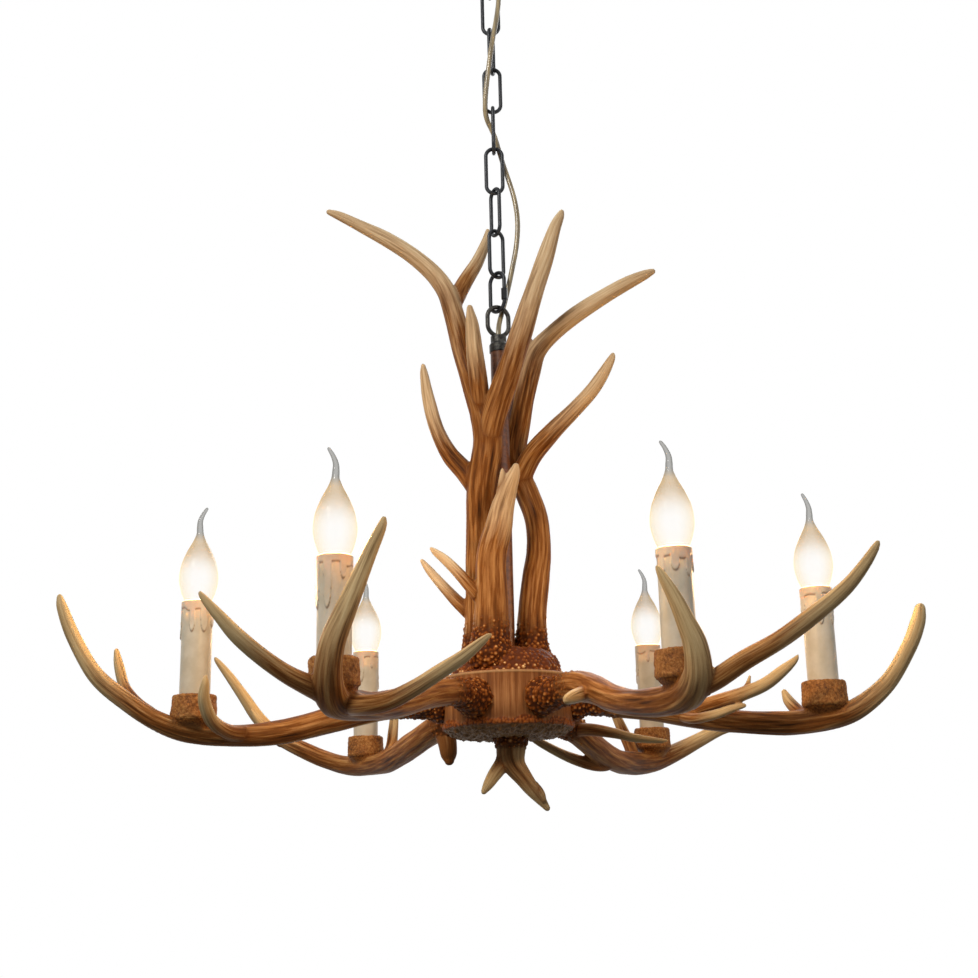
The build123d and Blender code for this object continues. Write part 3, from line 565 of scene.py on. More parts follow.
ARMS = [branches(block) for block in ("""
-4 0 1 13, 6 0 1 13, 34 -9 -3 12.4, 70 -24 -10 11.8, 104 -42 -19 11.2, 140 -59 -27 10.8,
180 -73 -31 10.6, 216 -83 -29 10.4, 243 -92 -21 9, 269 -101 0 7.8, 288 -107 29 7, 297 -110 50 6.6,
300 -111 62 5;
98 -38 -17 8, 118 -72 -13 7, 141 -103 -8 6.2, 158 -119 -2 5.6, 172 -129 8 4.8, 182 -133 16 3,
185 -134 20 1.4;
96 -42 -20 5.5, 104 -70 -25 4.8, 118 -92 -24 4.2, 132 -101 -20 3.6, 142 -104 -18 2.2;
202 -80 -29 6.4, 196 -62 -18 5.8, 192 -51 -9 5, 190 -44 0 2.6;
144 -105 -5 3, 147 -107 3 2, 148 -107 7 1.2
""", """
-4 -2 -4 14, 8 -8 -8 14, 37 -19 -19 12.8, 66 -20 -29 12.6, 100 -18 -38 12.6, 145 -16 -45 12.4,
190 -15 -45 12, 229 -18 -42 11.4, 263 -30 -31 10, 291 -50 -16 8.4, 309 -68 -4 7.2, 322 -83 1 5.8,
331 -94 4 3.6, 333 -97 5 2;
34 -20 -20 7, 24 -45 -22 6, 20 -70 -27 5, 23 -92 -33 4.2, 32 -112 -36 2.6, 36 -118 -36 1.4;
196 -12 -42 7, 209 0 -23 6.6, 213 10 -4 6, 214 19 16 5, 211 25 33 3.2, 210 27 39 1.6;
128 -18 -45 7.4, 112 -14 -50 6.8, 90 -7 -49 6.2, 64 5 -42 5.4, 38 19 -30 4.4, 24 27 -22 2.4
""", """
-4 2 -4 14, 8 8 -5 14, 37 18 -12 13.6, 62 20 -18 13.2, 101 20 -27 12.6, 165 14 -37 12.2,
223 14 -39 11.4, 262 23 -36 10.6, 290 38 -27 9.8, 309 55 -16 9, 325 77 -2 8.2, 333 99 19 7.6,
337 116 43 7, 341 133 67 5.6, 345 147 85 3.4, 346 150 89 2;
324 74 -7 7, 323 92 5 6, 325 106 20 4.2, 326 112 29 1.5;
178 14 -36 8, 194 -1 -22 6.6, 203 -8 -2 5.6, 207 -12 18 4.2, 208 -14 30 1.8;
36 18 -12 11, 31 16 -29 9.4, 30 15 -42 8, 29 15 -47 5.2
""", """
-4 0 1 13.4, 8 2 1 13.2, 44 8 -1 12.8, 76 19 -7 12.5, 104 33 -16 12, 143 52 -27 11,
182 69 -31 10.2, 220 84 -28 9.4, 247 92 -18 8.7, 270 99 -3 8, 297 106 20 7.4, 317 110 53 6.4,
328 112 79 5, 331 112 89 3;
168 62 -29 8, 184 84 -29 6.8, 195 106 -21 6.2, 199 122 -5 5.4, 197 130 8 3.6, 196 132 14 1.6;
250 94 -14 6.5, 268 78 -1 5.8, 283 64 15 5.2, 292 54 36 4.6, 296 50 50 2.6
""", """
-4 0 0 13, 8 0 0 13, 34 0 2 12.2, 72 0 -3 12, 120 5 -14 11.6, 168 11 -22 12, 210 16 -25 12.2,
240 21 -24 12, 259 30 -9 11.4, 265 38 12 10.4, 262 46 34 8.6, 255 53 58 7, 248 60 82 5.6,
242 66 101 3.8, 240 67 108 2.2;
238 22 -21 11, 264 16 -15 8.2, 281 9 -8 7, 299 1 3 6.2, 316 -8 17 5.8, 327 -16 31 4.6,
334 -24 43 3, 336 -26 47 1.8;
220 22 -25 10, 238 48 -30 8.2, 243 74 -29 7, 240 94 -21 6.2, 235 111 -11 5.8, 229 127 -1 4.8,
221 140 11 3, 218 144 15 1.8
""", """
-4 2 0 14, 8 3 0 14, 46 6 3 13.6, 80 2 -3 12.8, 120 -7 -15 11.6, 162 -14 -24 11.2,
200 -18 -27 11.6, 235 -20 -26 12.2, 259 -27 -14 11.2, 267 -34 6 9.2, 267 -42 24 6.9,
263 -48 42 5.4, 258 -54 58 3.6, 256 -56 64 2.2;
240 -22 -22 11, 264 -16 -18 8.2, 284 -4 -6 7.4, 306 14 8 6.8, 328 33 27 6.2, 343 46 42 5.6,
352 56 57 4.6, 357 63 69 3.2, 358 65 73 2;
68 6 -2 8.5, 80 -8 -7 7, 92 -27 -12 5.6, 98 -37 -15 4;
258 -33 -3 5, 264 -28 3 3.4, 266 -26 7 1.8
""")]


def on_lamp(number, points):
    """Points given on an arm, as places on the lamp. The arms stand 60 degrees apart."""
    turn = math.radians(60 * (number - 1))
    x, y = math.cos(turn), math.sin(turn)
    return [((HUB_RADIUS + out) * x - aside * y, (HUB_RADIUS + out) * y + aside * x,
             hub_middle + up, radius) for out, aside, up, radius in points]


print(len(ARMS), "arms, hub middle at", round(hub_middle, 2), "mm")

# %% Arm antlers: skins
BURR_RADIUS = 17.5
BURR_FULL = 22        # solid crust up to here, from the hub's wall
BURR_REACH = 62       # and single beads up to here
CUP_SHOWN = 20        # a cup stands this high out of its antler
DARK_TINES = {3: (3,)}  # the stub beside the hub is painted with the full crease shade and no pale tip

for number, arm in enumerate(ARMS, 1):
    lines = [smooth_line(on_lamp(number, branch)) for branch in arm]
    lines[0][:, 3] = np.maximum(lines[0][:, 3], BURR_RADIUS - 0.45 * carried_frame(lines[0])[0])
    burr = smooth_line(on_lamp(number, (
        (-3, 0, 0, BURR_RADIUS - 3), (1, 0, 0, BURR_RADIUS), (6, 0, 0, BURR_RADIUS - 0.5),
        (11, 0, 0, BURR_RADIUS - 3.5), (18, 0, 0, 13))))
    x, y, cup_top, _ = spot(f"cup_{number}")
    seat = cup_top - CUP_SHOWN
    beam = min(row[2] for row in lines[0] if math.hypot(row[0] - x, row[1] - y) < 10)
    saddle = smooth_line(((x, y, seat + 2, 17.5), (x, y, seat, 19.2), (x, y, seat - 4, 17.6),
                          (x, y, seat - 9, 12.6), (x, y, min(beam, seat - 14), 8.5)), 1)
    mesh, places = carve_antler(lines, 1.3 * number, BURR_FULL, BURR_REACH,
                                [tube_shell(burr), tube_shell(saddle)],
                                dark_tines=DARK_TINES.get(number, ()), cup=(x, y, seat))
    finished(f"antler_arm_{number}", mesh, places, antler_brown, "lamp", "antler",
             f"arm_antler_{number}")
    print(f"arm {number}: {len(lines)} branches, {len(mesh.vertices)} vertices")

# %% [markdown]
# ## The crown antlers and the finial
# These three rise round the stem from a beaded mound. They are written in the lamp's own x and y,
# with the height above the mound. The finial's points go down from the hub.

# %% Crown and finial: points
crown_top = spot("crown_base")[2]
hub_bottom = hub_top - HUB_HEIGHT

CROWN_ANTLERS = [branches(block) for block in ("""
-15 -32 -18 18, -15 -32 2 17.6, -14 -33 22 16.8, -13 -34 57 15.6, -12 -36 88 14.2, -5 -39 114 13,
0 -41 135 11, 6 -44 153 8.4, 11 -46 165 6, 13 -47 172 3.4;
-22 -36 48 8.4, -34 -38 61 6.4, -45 -36 74 5.4, -56 -33 86 4.8, -65 -30 94 3.6, -69 -28 98 2;
-2 -43 135 6, -1 -46 150 4.8, 0 -48 162 3.4, 0 -49 168 2
""", """
-25 4 -18 16, -25 4 6 16, -24 1 50 14.4, -23 -5 90 13.8, -22 -12 129 14, -19 -19 167 15,
-13 -22 204 15.2, -17 -21 232 13, -25 -18 260 11.4, -33 -14 293 11, -39 -12 320 11, -45 -11 346 11,
-52 -9 369 10, -65 -7 390 9, -87 -5 412 8.4, -112 -2 431 7.6, -140 2 449 6.4, -162 6 463 5,
-174 8 469 3;
-46 -9 354 10, -33 5 385 8, -20 18 413 6.8, -11 30 440 5, -8 38 458 2.6;
-14 -24 200 13, -5 -33 232 12.4, 8 -40 268 12, 22 -44 309 11.2, 34 -46 346 10.2, 47 -46 384 8.6,
58 -45 418 6.4, 64 -44 432 4.6, 66 -44 437 2.8;
-18 -22 226 10, -21 -30 264 9.2, -24 -36 294 8.4, -26 -38 320 6.6, -28 -38 339 3;
-24 -15 160 11, -36 -14 177 10, -51 -12 196 9, -63 -10 222 7.4, -71 -8 254 6.2, -75 -8 280 4.4,
-76 -8 290 2.4;
-27 2 36 9, -44 6 51 6.6, -59 8 68 5.6, -72 10 84 4.4, -80 11 95 2.2
""", """
24 4 -18 15, 24 4 6 15, 26 4 40 14, 30 5 71 13, 34 6 101 12.2, 33 8 132 12, 25 13 160 12,
16 17 184 12.4, 13 19 208 12.4, 18 18 234 12, 24 13 262 11.4, 31 9 288 11, 38 4 307 10.4,
54 -2 323 9.2, 78 -7 341 8.6, 105 -12 357 8, 130 -16 370 6.8, 149 -19 378 4.8, 157 -20 381 3;
33 7 294 9, 30 8 314 7.2, 28 9 326 3.6;
18 12 176 11.2, 30 -1 196 10.2, 49 -13 215 9.2, 70 -23 233 8.2, 88 -31 250 7.2, 100 -35 266 6,
109 -38 281 4, 111 -38 286 2.4
""")]

FINIAL = branches("""
2 0 8 15, 2 0 12 14.4, 2 0 18 13.4, 2 0 25 13, 5 0 34 10.6, 12 0 44 8.8, 20 0 55 7.4, 28 0 65 5.2,
34 0 73 3;
1 0 23 11, -7 -2 33 7.6, -14 -3 42 6.4, -20 -5 51 5, -24 -6 57 3;
21 -1 53 6.4, 28 -3 61 4.8, 31 -4 66 2.6
""")
print("crown stands on", round(crown_top, 1), "and the finial hangs from", round(hub_bottom, 1))

# %% Crown and finial: skins
CROWN_CRUST = 20       # from the foot, which is sunk 18 mm into the mound
CROWN_BEADS = 58
FOOT_FLARE = 4.5         # how much wider a trunk gets where it grows out of the mound

for number, branches in enumerate(CROWN_ANTLERS, 1):
    lines = [smooth_line([(x, y, crown_top + up, r) for x, y, up, r in branch])
             for branch in branches]
    near_foot = np.clip(1 - np.abs(lines[0][:, 2] - crown_top + 6) / 26, 0, 1)
    lines[0][:, 3] += FOOT_FLARE * near_foot ** 2
    mesh, places = carve_antler(lines, 9.1 + number, CROWN_CRUST, CROWN_BEADS, tip_share=0.58)
    finished(f"antler_crown_{number}", mesh, places, crown_brown, "lamp", "antler",
             f"crown_antler_{number}")
    print(f"crown antler {number}: {len(mesh.vertices)} vertices")

lines = [smooth_line([(x, y, hub_bottom - down, r) for x, y, down, r in branch])
         for branch in FINIAL]
mesh, places = carve_antler(lines, 4.4, 2, 12, tip_share=0.75, voxel=0.9, least_tip=0.28)
finished("antler_finial", mesh, places, antler_brown, "lamp", "antler", "finial_antler")
print("finial:", len(mesh.vertices), "vertices")

# %% [markdown]
# ## Turned pieces
# The hub, the mound, the cups and the candles are round about their own axis. Each is an outline
# of (radius, height) points spun into a grid of quads. The angle and height of every vertex are
# known, so a formula can push the surface in and out.

# %% Spin an outline
def resample(outline, step):
    """Points along the outline, about step apart, keeping its corners."""
    corners = np.array(outline, float)
    points = [corners[0]]
    for a, b in zip(corners, corners[1:]):
        count = max(1, int(round(np.linalg.norm(b - a) / step)))
        points.extend(a + (b - a) * k / count for k in range(1, count + 1))
    return np.array(points)


def spun(name, outline, sides, step, x=0, y=0):
    """A mesh spun round a vertical axis, with places, outward normals, angle, radius, height."""
    rows = resample(outline, step)
    radius, height = np.repeat(rows, sides, axis=0).T
    angle = np.tile(np.linspace(0, 2 * math.pi, sides, endpoint=False), len(rows))
    places = np.column_stack([x + radius * np.cos(angle), y + radius * np.sin(angle), height])
    slope = np.gradient(rows, axis=0)
    tilt = np.column_stack([slope[:, 1], -slope[:, 0]])
    tilt /= np.maximum(np.linalg.norm(tilt, axis=1)[:, None], 1e-9)
    out, up = np.repeat(tilt, sides, axis=0).T
    normals = np.column_stack([out * np.cos(angle), out * np.sin(angle), up])
    mesh = bpy.data.meshes.new(name)
    mesh.from_pydata(places, [], ring_quads(len(rows), sides))
    return mesh, places, normals, angle, radius, height


def rough_field(places, size, seed):
    """Soft random lumps of about this size, from sines that don't line up."""
    rng = np.random.RandomState(seed)
    total = np.zeros(len(places))
    for _ in range(14):
        direction = rng.normal(size=3)
        direction *= rng.uniform(0.7, 1.5) * 2 * math.pi / size / np.linalg.norm(direction)
        total += np.sin(places @ direction + rng.uniform(0, 6.3))
    return total / 4


print("outline sample:", len(resample([(0, 0), (10, 0), (10, 5)], 1)), "points")

# %% [markdown]
# ## The hub and its mound
# The hub's wall is carved like sawn wood, with a fine upright grain and a thin raised lip. Beads
# crowd its lower edge and the whole mound above, where the crown antlers grow out.

# %% Hub material
hub_stain, tree, shader = new_material("hub_resin", Roughness=0.5, Specular_IOR_Level=0.12)
grain = attribute(tree, "grain", "Vector")
fibres = noise(stretched(grain, 260, 260, 12), 1, 6, 0.68)
clouds = noise(stretched(grain, 24, 24, 30), 1, 3, 0.5)
level = ((fibres - 0.5) * 1.3 + (attribute(tree, "relief") - 0.5) * 0.3
         + (clouds - 0.5) * 0.6 + 0.5)
wall = ramp(level, (0.1, 66, 36, 16), (0.45, 120, 74, 38), (0.85, 172, 124, 80))
wall = mix(attribute(tree, "rim"), wall, (214, 180, 134))
# The lower part of the hub wall is pulled toward dark brown: painted shade under the arms.
wall = mix(attribute(tree, "soot"), wall, (62, 38, 16))
# Beads run from dark brown at their feet to pale cream on their tops: the pale tops are a painted
# highlight.
beads = ramp(attribute(tree, "pearl"), (0, 84, 39, 10), (0.45, 122, 63, 19),
             (0.75, 140, 86, 40), (1, 226, 190, 136))
colour = mix(attribute(tree, "beaded"), wall, beads)
stone = noise(stretched(grain, 260, 260, 260), 1, 4, 0.6)
under_colour = ramp(stone, (0.35, 80, 54, 27), (0.7, 146, 110, 70))
fill(shader, Base_Color=mix(attribute(tree, "under"), colour, under_colour))
bump(shader, fibres, 0.0006, 0.6)
print("hub stain mixed")

# %% Hub wall and underside
HUB_FOOT = ((6, -8), (40, -8), (47, -7.6), (54, -4.6), (58.4, -1.6), (60.4, 0), (60.9, 2),
            (60.5, 5))
HUB_RIM = ((60.4, -3), (61, -2), (61, -0.6), (60, 0.2), (54, 0.2), (6, 0))


def scallop(angle):
    """How far the beads' upper edge wanders up and down round the hub."""
    return 1.6 * np.sin(9 * angle + 1) + 1.1 * np.sin(14 * angle) + 0.8 * np.sin(23 * angle + 2)


def scatter_ring(rng, radius, height, spacing, spread, low, high):
    """Beads round a circle, as (centre, size), jittered up and down by spread."""
    count = int(2 * math.pi * radius / spacing)
    beads = []
    for k in range(count):
        turn = 2 * math.pi * (k + rng.uniform(-0.3, 0.3)) / count
        away = radius + rng.uniform(-0.4, 0.4)
        centre = (away * math.cos(turn), away * math.sin(turn),
                  height + rng.uniform(-spread, spread))
        beads.append((centre, rng.uniform(low, high)))
    return beads


rng = random.Random(7)
outline = [(r, hub_bottom + z) for r, z in HUB_FOOT] + [(r, hub_top + z) for r, z in HUB_RIM]
mesh, places, normals, angle, radius, height = spun("hub", outline, 520, 0.8)
fibre = ridges(angle * 9, height * 0.2, 0, 2)
below = fade(height - scallop(angle), hub_bottom + 6.5, hub_bottom + 4.5)
under = fade(height, hub_bottom + 0.4, hub_bottom - 1.2)
places = places + normals * ((fibre - 0.5) * 0.5 * (1 - below))[:, None]
pits = 0.9 * rough_field(places, 7, 3) + 0.5 * rough_field(places, 3, 5)
places = places + normals * (under * pits)[:, None]
beads = []
for up, low, high in ((5.4, 0.9, 1.5), (3.2, 1.1, 1.8), (1.2, 1.1, 1.9)):
    beads += [((x, y, z), size) for (x, y, z), size
              in scatter_ring(rng, 60.6, hub_bottom + up, 3, 0.8, low, high)
              if z < hub_bottom + 5.5 + scallop(math.atan2(y, x))]
places, pearl = raise_pearls(places, normals, beads, 0.7)
rim = np.exp(-((height - hub_top + 1.4) / 0.9) ** 2) * (radius > 59) * 0.5
# The lower wall gets darker toward the bottom: painted shade.
store(mesh, grain=places * MM, relief=fibre, pearl=0.72 * pearl, beaded=below * (1 - under),
      rim=rim, under=under,
      soot=0.35 * fade(height, hub_bottom + 24, hub_bottom + 5) * (1 - below))
finished("hub_shell", mesh, places, hub_stain, "lamp", "hub", "hub_body", "hub_bottom_cover")
print("hub:", len(mesh.vertices), "vertices,", len(beads), "beads")

# %% Beaded mound
MOUND_OUTLINE = ((52.4, 0.2), (52.2, 2), (50.9, 6.6), (47.8, 15), (41, 21.5), (30, 24), (18, 25),
                 (9, 25))
MOUND_RINGS = (     # radius, height, smallest and largest bead
    (53, 1.6, 1.7, 2.6), (51.8, 5.4, 1.4, 2.4), (50.4, 9.2, 0.9, 2.1), (48.8, 12, 1.2, 2.1),
    (46.6, 15.6, 1.2, 2.1), (43.4, 18.8, 1.2, 2.1), (39.4, 21.6, 1.2, 2.1), (35, 23.2, 1.1, 2),
    (30.4, 24.2, 1.1, 2), (25.5, 24.8, 1.1, 2), (20.5, 25.2, 1.1, 2),
)

outline = [(r, hub_top + z) for r, z in MOUND_OUTLINE]
mesh, places, normals, angle, radius, height = spun("mound", outline, 440, 0.75)
places = places + normals * (0.9 * rough_field(places, 14, 21))[:, None]
beads = [bead for ring, up, low, high in MOUND_RINGS
         for bead in scatter_ring(rng, ring, hub_top + up, 4.6, 1.4, low, high)]
places, pearl = raise_pearls(places, normals, beads, 0.85, rng)
# The lowest beads get a stronger painted highlight, the upper ones a weaker one.
pearl = np.clip(pearl * np.where(height < hub_top + 7, 1.15, 0.85), 0, 1)
store(mesh, grain=places * MM, relief=np.full(len(places), 0.4), pearl=pearl,
      beaded=np.ones(len(places)))
finished("crown_mound", mesh, places, hub_stain, "lamp", "hub", "crown_base")
print("mound:", len(beads), "beads")

# %% [markdown]
# ## The candle cups
# Each cup is a short cone with a coarse, rusty crust. It sits across its antler, so the cup is made
# whole and the antler simply runs through its foot.

# %% Cup material
cup_rust, tree, shader = new_material("cup_rust", Roughness=0.72, Specular_IOR_Level=0.3)
place = object_place(tree)
specks = noise(place, 420, 4, 0.7)
level = specks * 0.7 + noise(place, 70, 3) * 0.35
fill(shader, Base_Color=ramp(level, (0.36, 78, 43, 17), (0.52, 148, 93, 40),
                             (0.7, 196, 140, 78)))
bump(shader, specks, 0.0008, 0.7)
print("rust mixed")

# %% Six cups
CUP_OUTLINE = ((14, -23), (19, -22), (20.2, -20), (19.2, -2), (18.6, -0.6), (17.6, 0),
               (14.6, -0.2), (13.8, -1.4), (13.8, -12), (8, -12.5))      # down from the top

for number in range(1, 7):
    _, _, top, foot = spot(f"cup_{number}")
    x, y, _, _ = spot(f"candle_sleeve_{number}")
    outline = [(4, foot + 3)] + [(r, top + z) for r, z in CUP_OUTLINE]
    mesh, places, normals, angle, radius, height = spun("cup", outline, 150, 0.8, x, y)
    crust = 0.2 * rough_field(places, 3.2, number) + 0.28 * rough_field(places, 11, 40 + number)
    places = places + normals * (crust * (radius > 14.2))[:, None]
    finished(f"candle_cup_{number}", mesh, places, cup_rust, "lamp", "cup", f"cup_{number}")
print("six cups set on the antlers")

# %% [markdown]
# ## Wax on the candle sleeves
# The sleeves are ivory plastic with moulded drips. The wax is a layer with a wavy edge: a vertex
# above that edge is lifted. The edge keeps a thin brownish line, where the glaze gathers.

# %% Sleeve material
ivory, tree, shader = new_material(
    "candle_ivory", Roughness=0.38, Specular_IOR_Level=0.45, Subsurface_Weight=0.12,
    Subsurface_Scale=0.004, Subsurface_Radius=(1, 0.8, 0.6))
place = object_place(tree)
wax = ramp(noise(place, 60, 3), (0.35, 196, 184, 160), (0.7, 214, 204, 184))
wax = mix(attribute(tree, "drip_edge"), wax, (146, 112, 88))
# The top few mm of each sleeve are painted a warm pale cream: painted light from the bulb above.
fill(shader, Base_Color=mix(attribute(tree, "scorch"), wax, (226, 196, 152)))
bump(shader, noise(place, 500, 2), 0.0003, 0.3)
print("ivory mixed")

# %% Six sleeves
SLEEVE_RADIUS = 13.5
WAX_LIFT = 0.8
DRIPS = 7


def wax_edge(angle, rng):
    """How far the wax reaches down from the rim at each angle, in mm."""
    edge = (7 + 2 * np.sin(2 * angle + rng.uniform(0, 6))
            + 1.2 * np.sin(5 * angle + rng.uniform(0, 6)))
    for k in range(DRIPS):
        middle = 2 * math.pi * (k + rng.uniform(-0.25, 0.25)) / DRIPS
        width = rng.uniform(2, 3.4) / SLEEVE_RADIUS
        drop = rng.choice((13, 17, 22, 28, 36))
        off = np.abs((angle - middle + math.pi) % (2 * math.pi) - math.pi)
        reach = drop * np.sqrt(np.clip(1 - (off / width) ** 2, 0, 1)) ** 0.5
        edge = np.maximum(edge, 6 + reach)
    return edge


for number in range(1, 7):
    x, y, top, foot = spot(f"candle_sleeve_{number}")
    outline = [(SLEEVE_RADIUS, foot), (SLEEVE_RADIUS, top - 0.5), (SLEEVE_RADIUS - 0.4, top),
               (12.6, top), (12.5, top - 0.5), (12.5, foot)]
    mesh, places, normals, angle, radius, height = spun("sleeve", outline, 160, 0.7, x, y)
    depth = top - height
    edge = wax_edge(angle, random.Random(20 + number))
    outer = radius > 13
    inside = fade(edge - depth, -0.5, 0.9)
    bead = np.exp(-((edge - depth - 2.2) / 2.4) ** 2) * (edge > 12)
    places = places + normals * (outer * WAX_LIFT * (inside + 0.45 * bead))[:, None]
    # The painted bulb light fades within a few mm below the sleeve's top.
    store(mesh, drip_edge=0.75 * outer * np.exp(-((edge - depth + 0.2) / 0.75) ** 2),
          scorch=0.5 * np.exp(-depth / 4))
    finished(f"candle_wax_{number}", mesh, places, ivory, "lamp", "ivory",
             f"candle_sleeve_{number}")
print("six sleeves waxed")

# %% [markdown]
# ## The bulbs
# The bulb is clear glass drawn out into a bent tail, with a bright warm core. Blown glass needs a
# smooth sweep, so the flask and its tail are one tube with a changing radius. The glow is three
# shells, one inside the other, that thin out at their edges and are soft from every side. There
# are no more of them because a ray is followed through a few clear layers only.

# %% Glass and glow
bulb_clear, tree, shader = new_material("bulb_glass", Roughness=0.05, IOR=1.45,
                                        Specular_IOR_Level=0.5)
facing = make(tree, "LayerWeight", {"Blend": 0.35}, "Facing")
lit, warm, smoky = (attribute(tree, name) for name in ("lit", "warm", "smoky"))
thin = ramp(facing, (0.03, 0.04), (0.2, 0.16), (0.45, 0.3), (0.95, 0.8))
fill(shader, Alpha=thin.math("ADD", smoky * 0.33, True),
     Base_Color=mix(lit.math("ADD", warm, True), (104, 100, 80), (198, 160, 88)),
     Emission_Color=mix(lit, (238, 190, 104), (255, 240, 184)),
     Emission_Strength=warm * 0.22 + lit * 0.62)

glow_warm, tree, shader = new_material("bulb_glow", Roughness=1, Specular_IOR_Level=0,
                                       Base_Color=linear(40, 34, 24))
hot = attribute(tree, "hot")
facing = make(tree, "LayerWeight", {"Blend": 0.5}, "Facing")
fill(shader, Emission_Color=mix(hot, (255, 232, 176), (255, 251, 238)),
     Emission_Strength=hot * 0.8 + 0.9,
     Alpha=(1 - facing).math("POWER", 1.6) * attribute(tree, "density"))
for shining in (bulb_clear, glow_warm):
    shining.cycles.emission_sampling = "NONE"    # the bulb lamps below light the room for them
print("glass and glow ready")

# %% Six bulbs
GLASS_OUTLINE = ((7, -15), (9.4, -8), (11.6, 0), (15.2, 9), (17.5, 21), (15.9, 34), (11.4, 46),
                 (6.2, 56), (3.4, 63))
TAIL = ((0.3, 69, 2.9), (0.2, 75, 2.4), (-1.8, 81, 1.9), (-4.6, 86, 1.5), (-5.4, 87.2, 1.3))
TAIL_TURNS = (20, 10, 20, 200, 10, 350)     # which way each bulb's tail points, in degrees
GLOW_OUTLINE = ((1, -14), (8.5, -9), (10.8, 0), (14, 9), (16, 21), (14.4, 33), (9.6, 45),
                (1, 54))
GLOW_MIDDLE = 22        # the shells are scaled about this height
# Each shell's width and height as shares of the outline, its heat and its density.
GLOW_SHELLS = ((0.42, 0.78, 1, 0.95), (0.68, 0.88, 0.8, 0.8), (0.9, 0.95, 0.1, 0.35))

shells, heat, density = [], [], []
for wide, tall, hotness, dense in GLOW_SHELLS:
    line = smooth_line([(0, 0, GLOW_MIDDLE + (z - GLOW_MIDDLE) * tall, r * wide)
                        for r, z in GLOW_OUTLINE], 2.5)
    shells.append(tube_shell(line, 28))
    heat.extend([hotness] * len(shells[-1][0]))
    density.extend(dense * (1 - 0.6 * float(fade(c[2], 42, 54))) for c in shells[-1][0])

bright_glass = bpy.data.collections.new("glass the bulb lamps pass through")
for number, turn in enumerate(TAIL_TURNS, 1):
    x, y, top, _ = spot(f"candle_sleeve_{number}")
    across, along = math.cos(math.radians(turn)), math.sin(math.radians(turn))
    points = [(0, 0, z, r) for r, z in GLASS_OUTLINE]
    points += [(shift * across, shift * along, z, r) for shift, z, r in TAIL]
    flask = tube_shell(smooth_line(points, 1.2), 40)
    for name, material, (corners, faces), nodes in (
            (f"bulb_flask_{number}", bulb_clear, flask, (f"bulb_glass_{number}",)),
            (f"bulb_core_{number}", glow_warm, joined(shells), ())):
        places = np.array(corners) + (x, y, top)
        mesh = bpy.data.meshes.new(name)
        mesh.from_pydata(places, [], faces)
        up = np.array(corners)[:, 2]
        if material is bulb_clear:
            store(mesh, lit=1 - fade(up, 20, 50), smoky=fade(up, 28, 54),
                  warm=fade(up, 16, 42) * (1 - fade(up, 54, 66)))
        else:
            store(mesh, hot=np.array(heat), density=np.array(density))
        piece = finished(name, mesh, places, material, f"bulb_{number}", "glass", *nodes)
        piece.visible_shadow = False
        piece.visible_diffuse = False
        bright_glass.objects.link(piece)
for member in bright_glass.collection_objects:
    member.light_linking.link_state = "EXCLUDE"
print("six bulbs lit")

# %% [markdown]
# ## Metal and plastic parts that need no new shape
# The chain, loops, stem and ceiling fittings are plain turned or bent metal, so the measured
# model's own shapes stay. Each gets a finish of its own.

# %% Finishes for the measured parts
def coat(name, nodes, dark, light, metallic, roughness, scale, wear=0.5):
    """A clouded finish, put on the measured pieces named."""
    material, tree, shader = new_material(name, Metallic=metallic)
    place = object_place(tree)
    cloud = noise(place, scale, 5, 0.6)
    fill(shader, Base_Color=ramp(cloud, (0.35, *dark), (0.7, *light)),
         Roughness=cloud * 0.25 + (roughness - 0.12))
    bump(shader, noise(place, scale * 3, 3), 0.0002, wear)
    for node in nodes:
        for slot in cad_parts[node].material_slots:
            slot.material = material


coat("chain_black", ["quick_link", "quick_link_nut"] + [f"chain_link_{k}" for k in range(1, 8)],
     (14, 16, 20), (34, 38, 44), 0.4, 0.36, 260)
coat("collar_pewter", ["lamp_loop", "canopy_loop"], (26, 26, 28), (84, 82, 76), 0.7, 0.42, 330, 0.9)
coat("stem_brown", ["centre_pipe"], (88, 48, 25), (146, 92, 54), 0, 0.42, 180)
coat("ceiling_cup_black", ["ceiling_canopy"], (18, 18, 20), (34, 34, 37), 0.3, 0.4, 150)
coat("zinc_plate", ["ceiling_bracket", "bracket_nuts", "threaded_rod", "hub_nuts", "arm_nipples",
                    "crown_screws"], (150, 150, 148), (190, 190, 186), 0.9, 0.34, 120)
coat("cap_nickel", [f"bulb_cap_{k}" for k in range(1, 7)], (170, 164, 150), (205, 198, 184),
     0.95, 0.28, 90)
coat("holder_black", ["lampholders"], (20, 20, 20), (34, 33, 32), 0, 0.5, 200)
coat("terminal_white", ["terminal_block", "wire_connectors"], (206, 203, 192), (226, 223, 214),
     0, 0.45, 90)
print("measured parts painted")

# %% Flex material
flex_gold, tree, shader = new_material("flex_khaki", Roughness=0.3, Specular_IOR_Level=0.5,
                                       Coat_Weight=0.5, Coat_Roughness=0.12)
twist = make(tree, "TexWave", {"Vector": stretched(object_place(tree), 1, 0.4, 0.8),
                               "Scale": 55, "Distortion": 1.5}, "Fac")
fill(shader, Base_Color=ramp(twist, (0, 116, 100, 66), (1, 168, 148, 104)))
flex_curve.materials.append(flex_gold)
print("flex coloured")

# %% [markdown]
# ## Light and background
# The picture was taken against white with soft light from the front and above, and the bulbs throw
# warm light on the antlers round them. The background is white only to the camera, a reflection or
# clear glass, so that it adds no light of its own.

# %% Floor and world
FLOOR_HEIGHT = -2.4
FLOOR_HALF = 3


def seen_white(tree):
    """1 for a ray from the camera, a reflection or clear glass, otherwise 0."""
    def ray(kind):
        return make(tree, "LightPath", output=f"Is {kind} Ray")
    return ray("Camera").math("MAXIMUM", ray("Glossy")).math("MAXIMUM", ray("Transmission"))


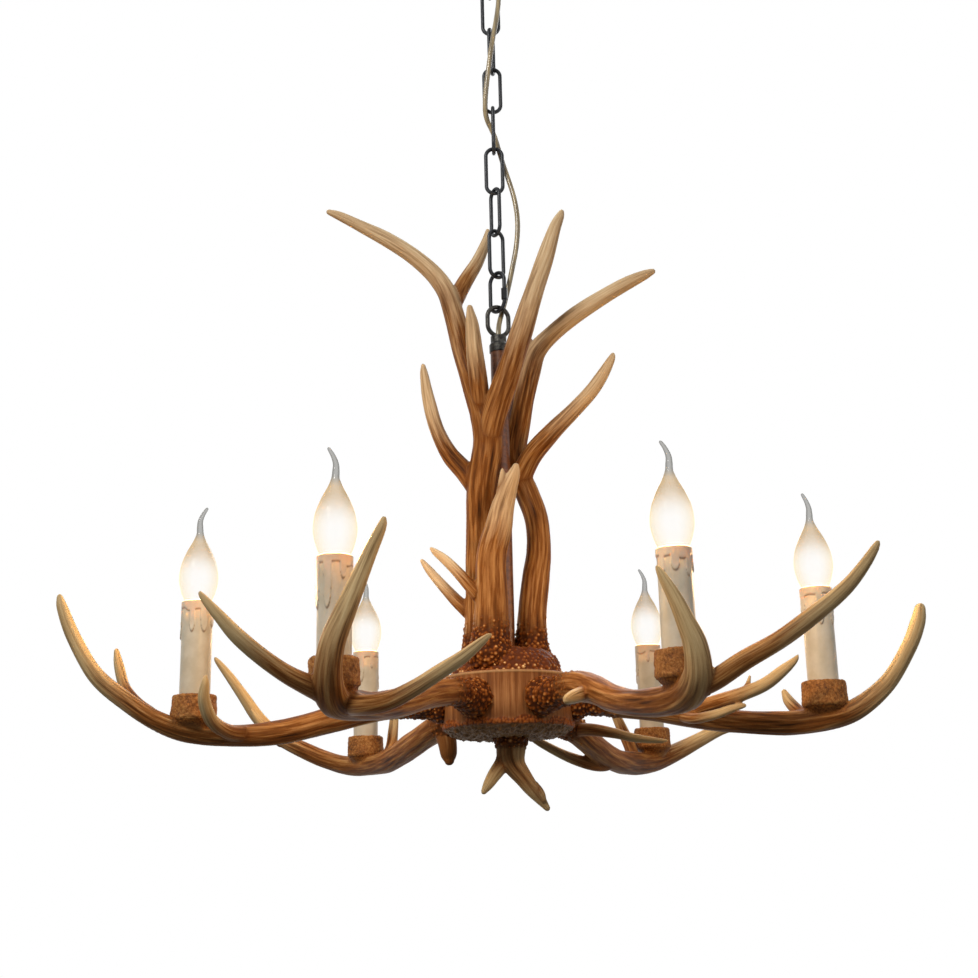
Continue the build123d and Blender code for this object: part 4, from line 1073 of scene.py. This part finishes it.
floor_mesh = bpy.data.meshes.new("floor")
floor_mesh.from_pydata([(x * FLOOR_HALF, y * FLOOR_HALF, FLOOR_HEIGHT)
                        for x, y in ((-1, -1), (1, -1), (1, 1), (-1, 1))], [], [(0, 1, 2, 3)])
floor = show("floor", floor_mesh)
floor_white, tree, shader = new_material("floor_white", Roughness=0.9, Specular_IOR_Level=0,
                                         Emission_Color=(1, 1, 1, 1))
seen = seen_white(tree)
fill(shader, Base_Color=mix(seen, (120, 117, 110), (238, 238, 238)), Emission_Strength=seen * 0.5)
floor_mesh.materials.append(floor_white)

world = bpy.data.worlds.new("studio")
bpy.context.scene.world = world
world.use_nodes = True
tree = world.node_tree
tree.nodes.clear()
upward = make(tree, "SeparateXYZ", {0: make(tree, "TexCoord", output="Generated")}, "Z")
steep = (upward + 1).math("MULTIPLY", 0.5, True)
sky = ramp(steep, (0.25, 0.03), (0.5, 0.12), (0.9, 0.36))
lit = make(tree, "Background", {"Color": sky, "Strength": 1})
white = make(tree, "Background", {"Color": (1, 1, 1, 1), "Strength": 1})
choose = make(tree, "MixShader", {0: seen_white(tree), 1: lit, 2: white})
feed(tree.nodes.new("ShaderNodeOutputWorld").inputs["Surface"], choose)
bpy.context.scene.view_settings.view_transform = "Standard"
print("floor at", FLOOR_HEIGHT)

# %% Lamps
MIDDLE = Vector((0, 0, -0.75))
AMBER = (1, 0.60, 0.26)
BULB_POWER = 0.7
BULB_CENTRE = 20        # above the sleeve, in mm


def lamp(name, kind, place, power, colour, **settings):
    """A lamp aimed at the middle of the object."""
    data = bpy.data.lights.new(name, kind)
    data.energy, data.color = power, colour
    for key, value in settings.items():
        setattr(data, key, value)
    made = show(name, data)
    made.location = place
    made.rotation_euler = (MIDDLE - Vector(place)).to_track_quat("-Z", "Y").to_euler()
    return made


lamp("key_light", "AREA", (-1.2, -1.8, 0.75), 38, (1, 0.97, 0.92), shape="DISK", size=1)
lamp("fill_light", "AREA", (1.8, -1.7, 0), 7, (1, 1, 1), shape="DISK", size=1.6)
lamp("back_light", "AREA", (0.4, 1.8, 0.6), 12, (1, 1, 1), shape="DISK", size=1.6)
for number in range(1, 7):
    x, y, top, _ = spot(f"candle_sleeve_{number}")
    place = (x * MM, y * MM, (top + BULB_CENTRE) * MM)
    bulb = lamp(f"bulb_light_{number}", "POINT", place, BULB_POWER, AMBER, shadow_soft_size=0.012)
    bulb.light_linking.receiver_collection = bright_glass
print("three studio lamps and six bulbs")
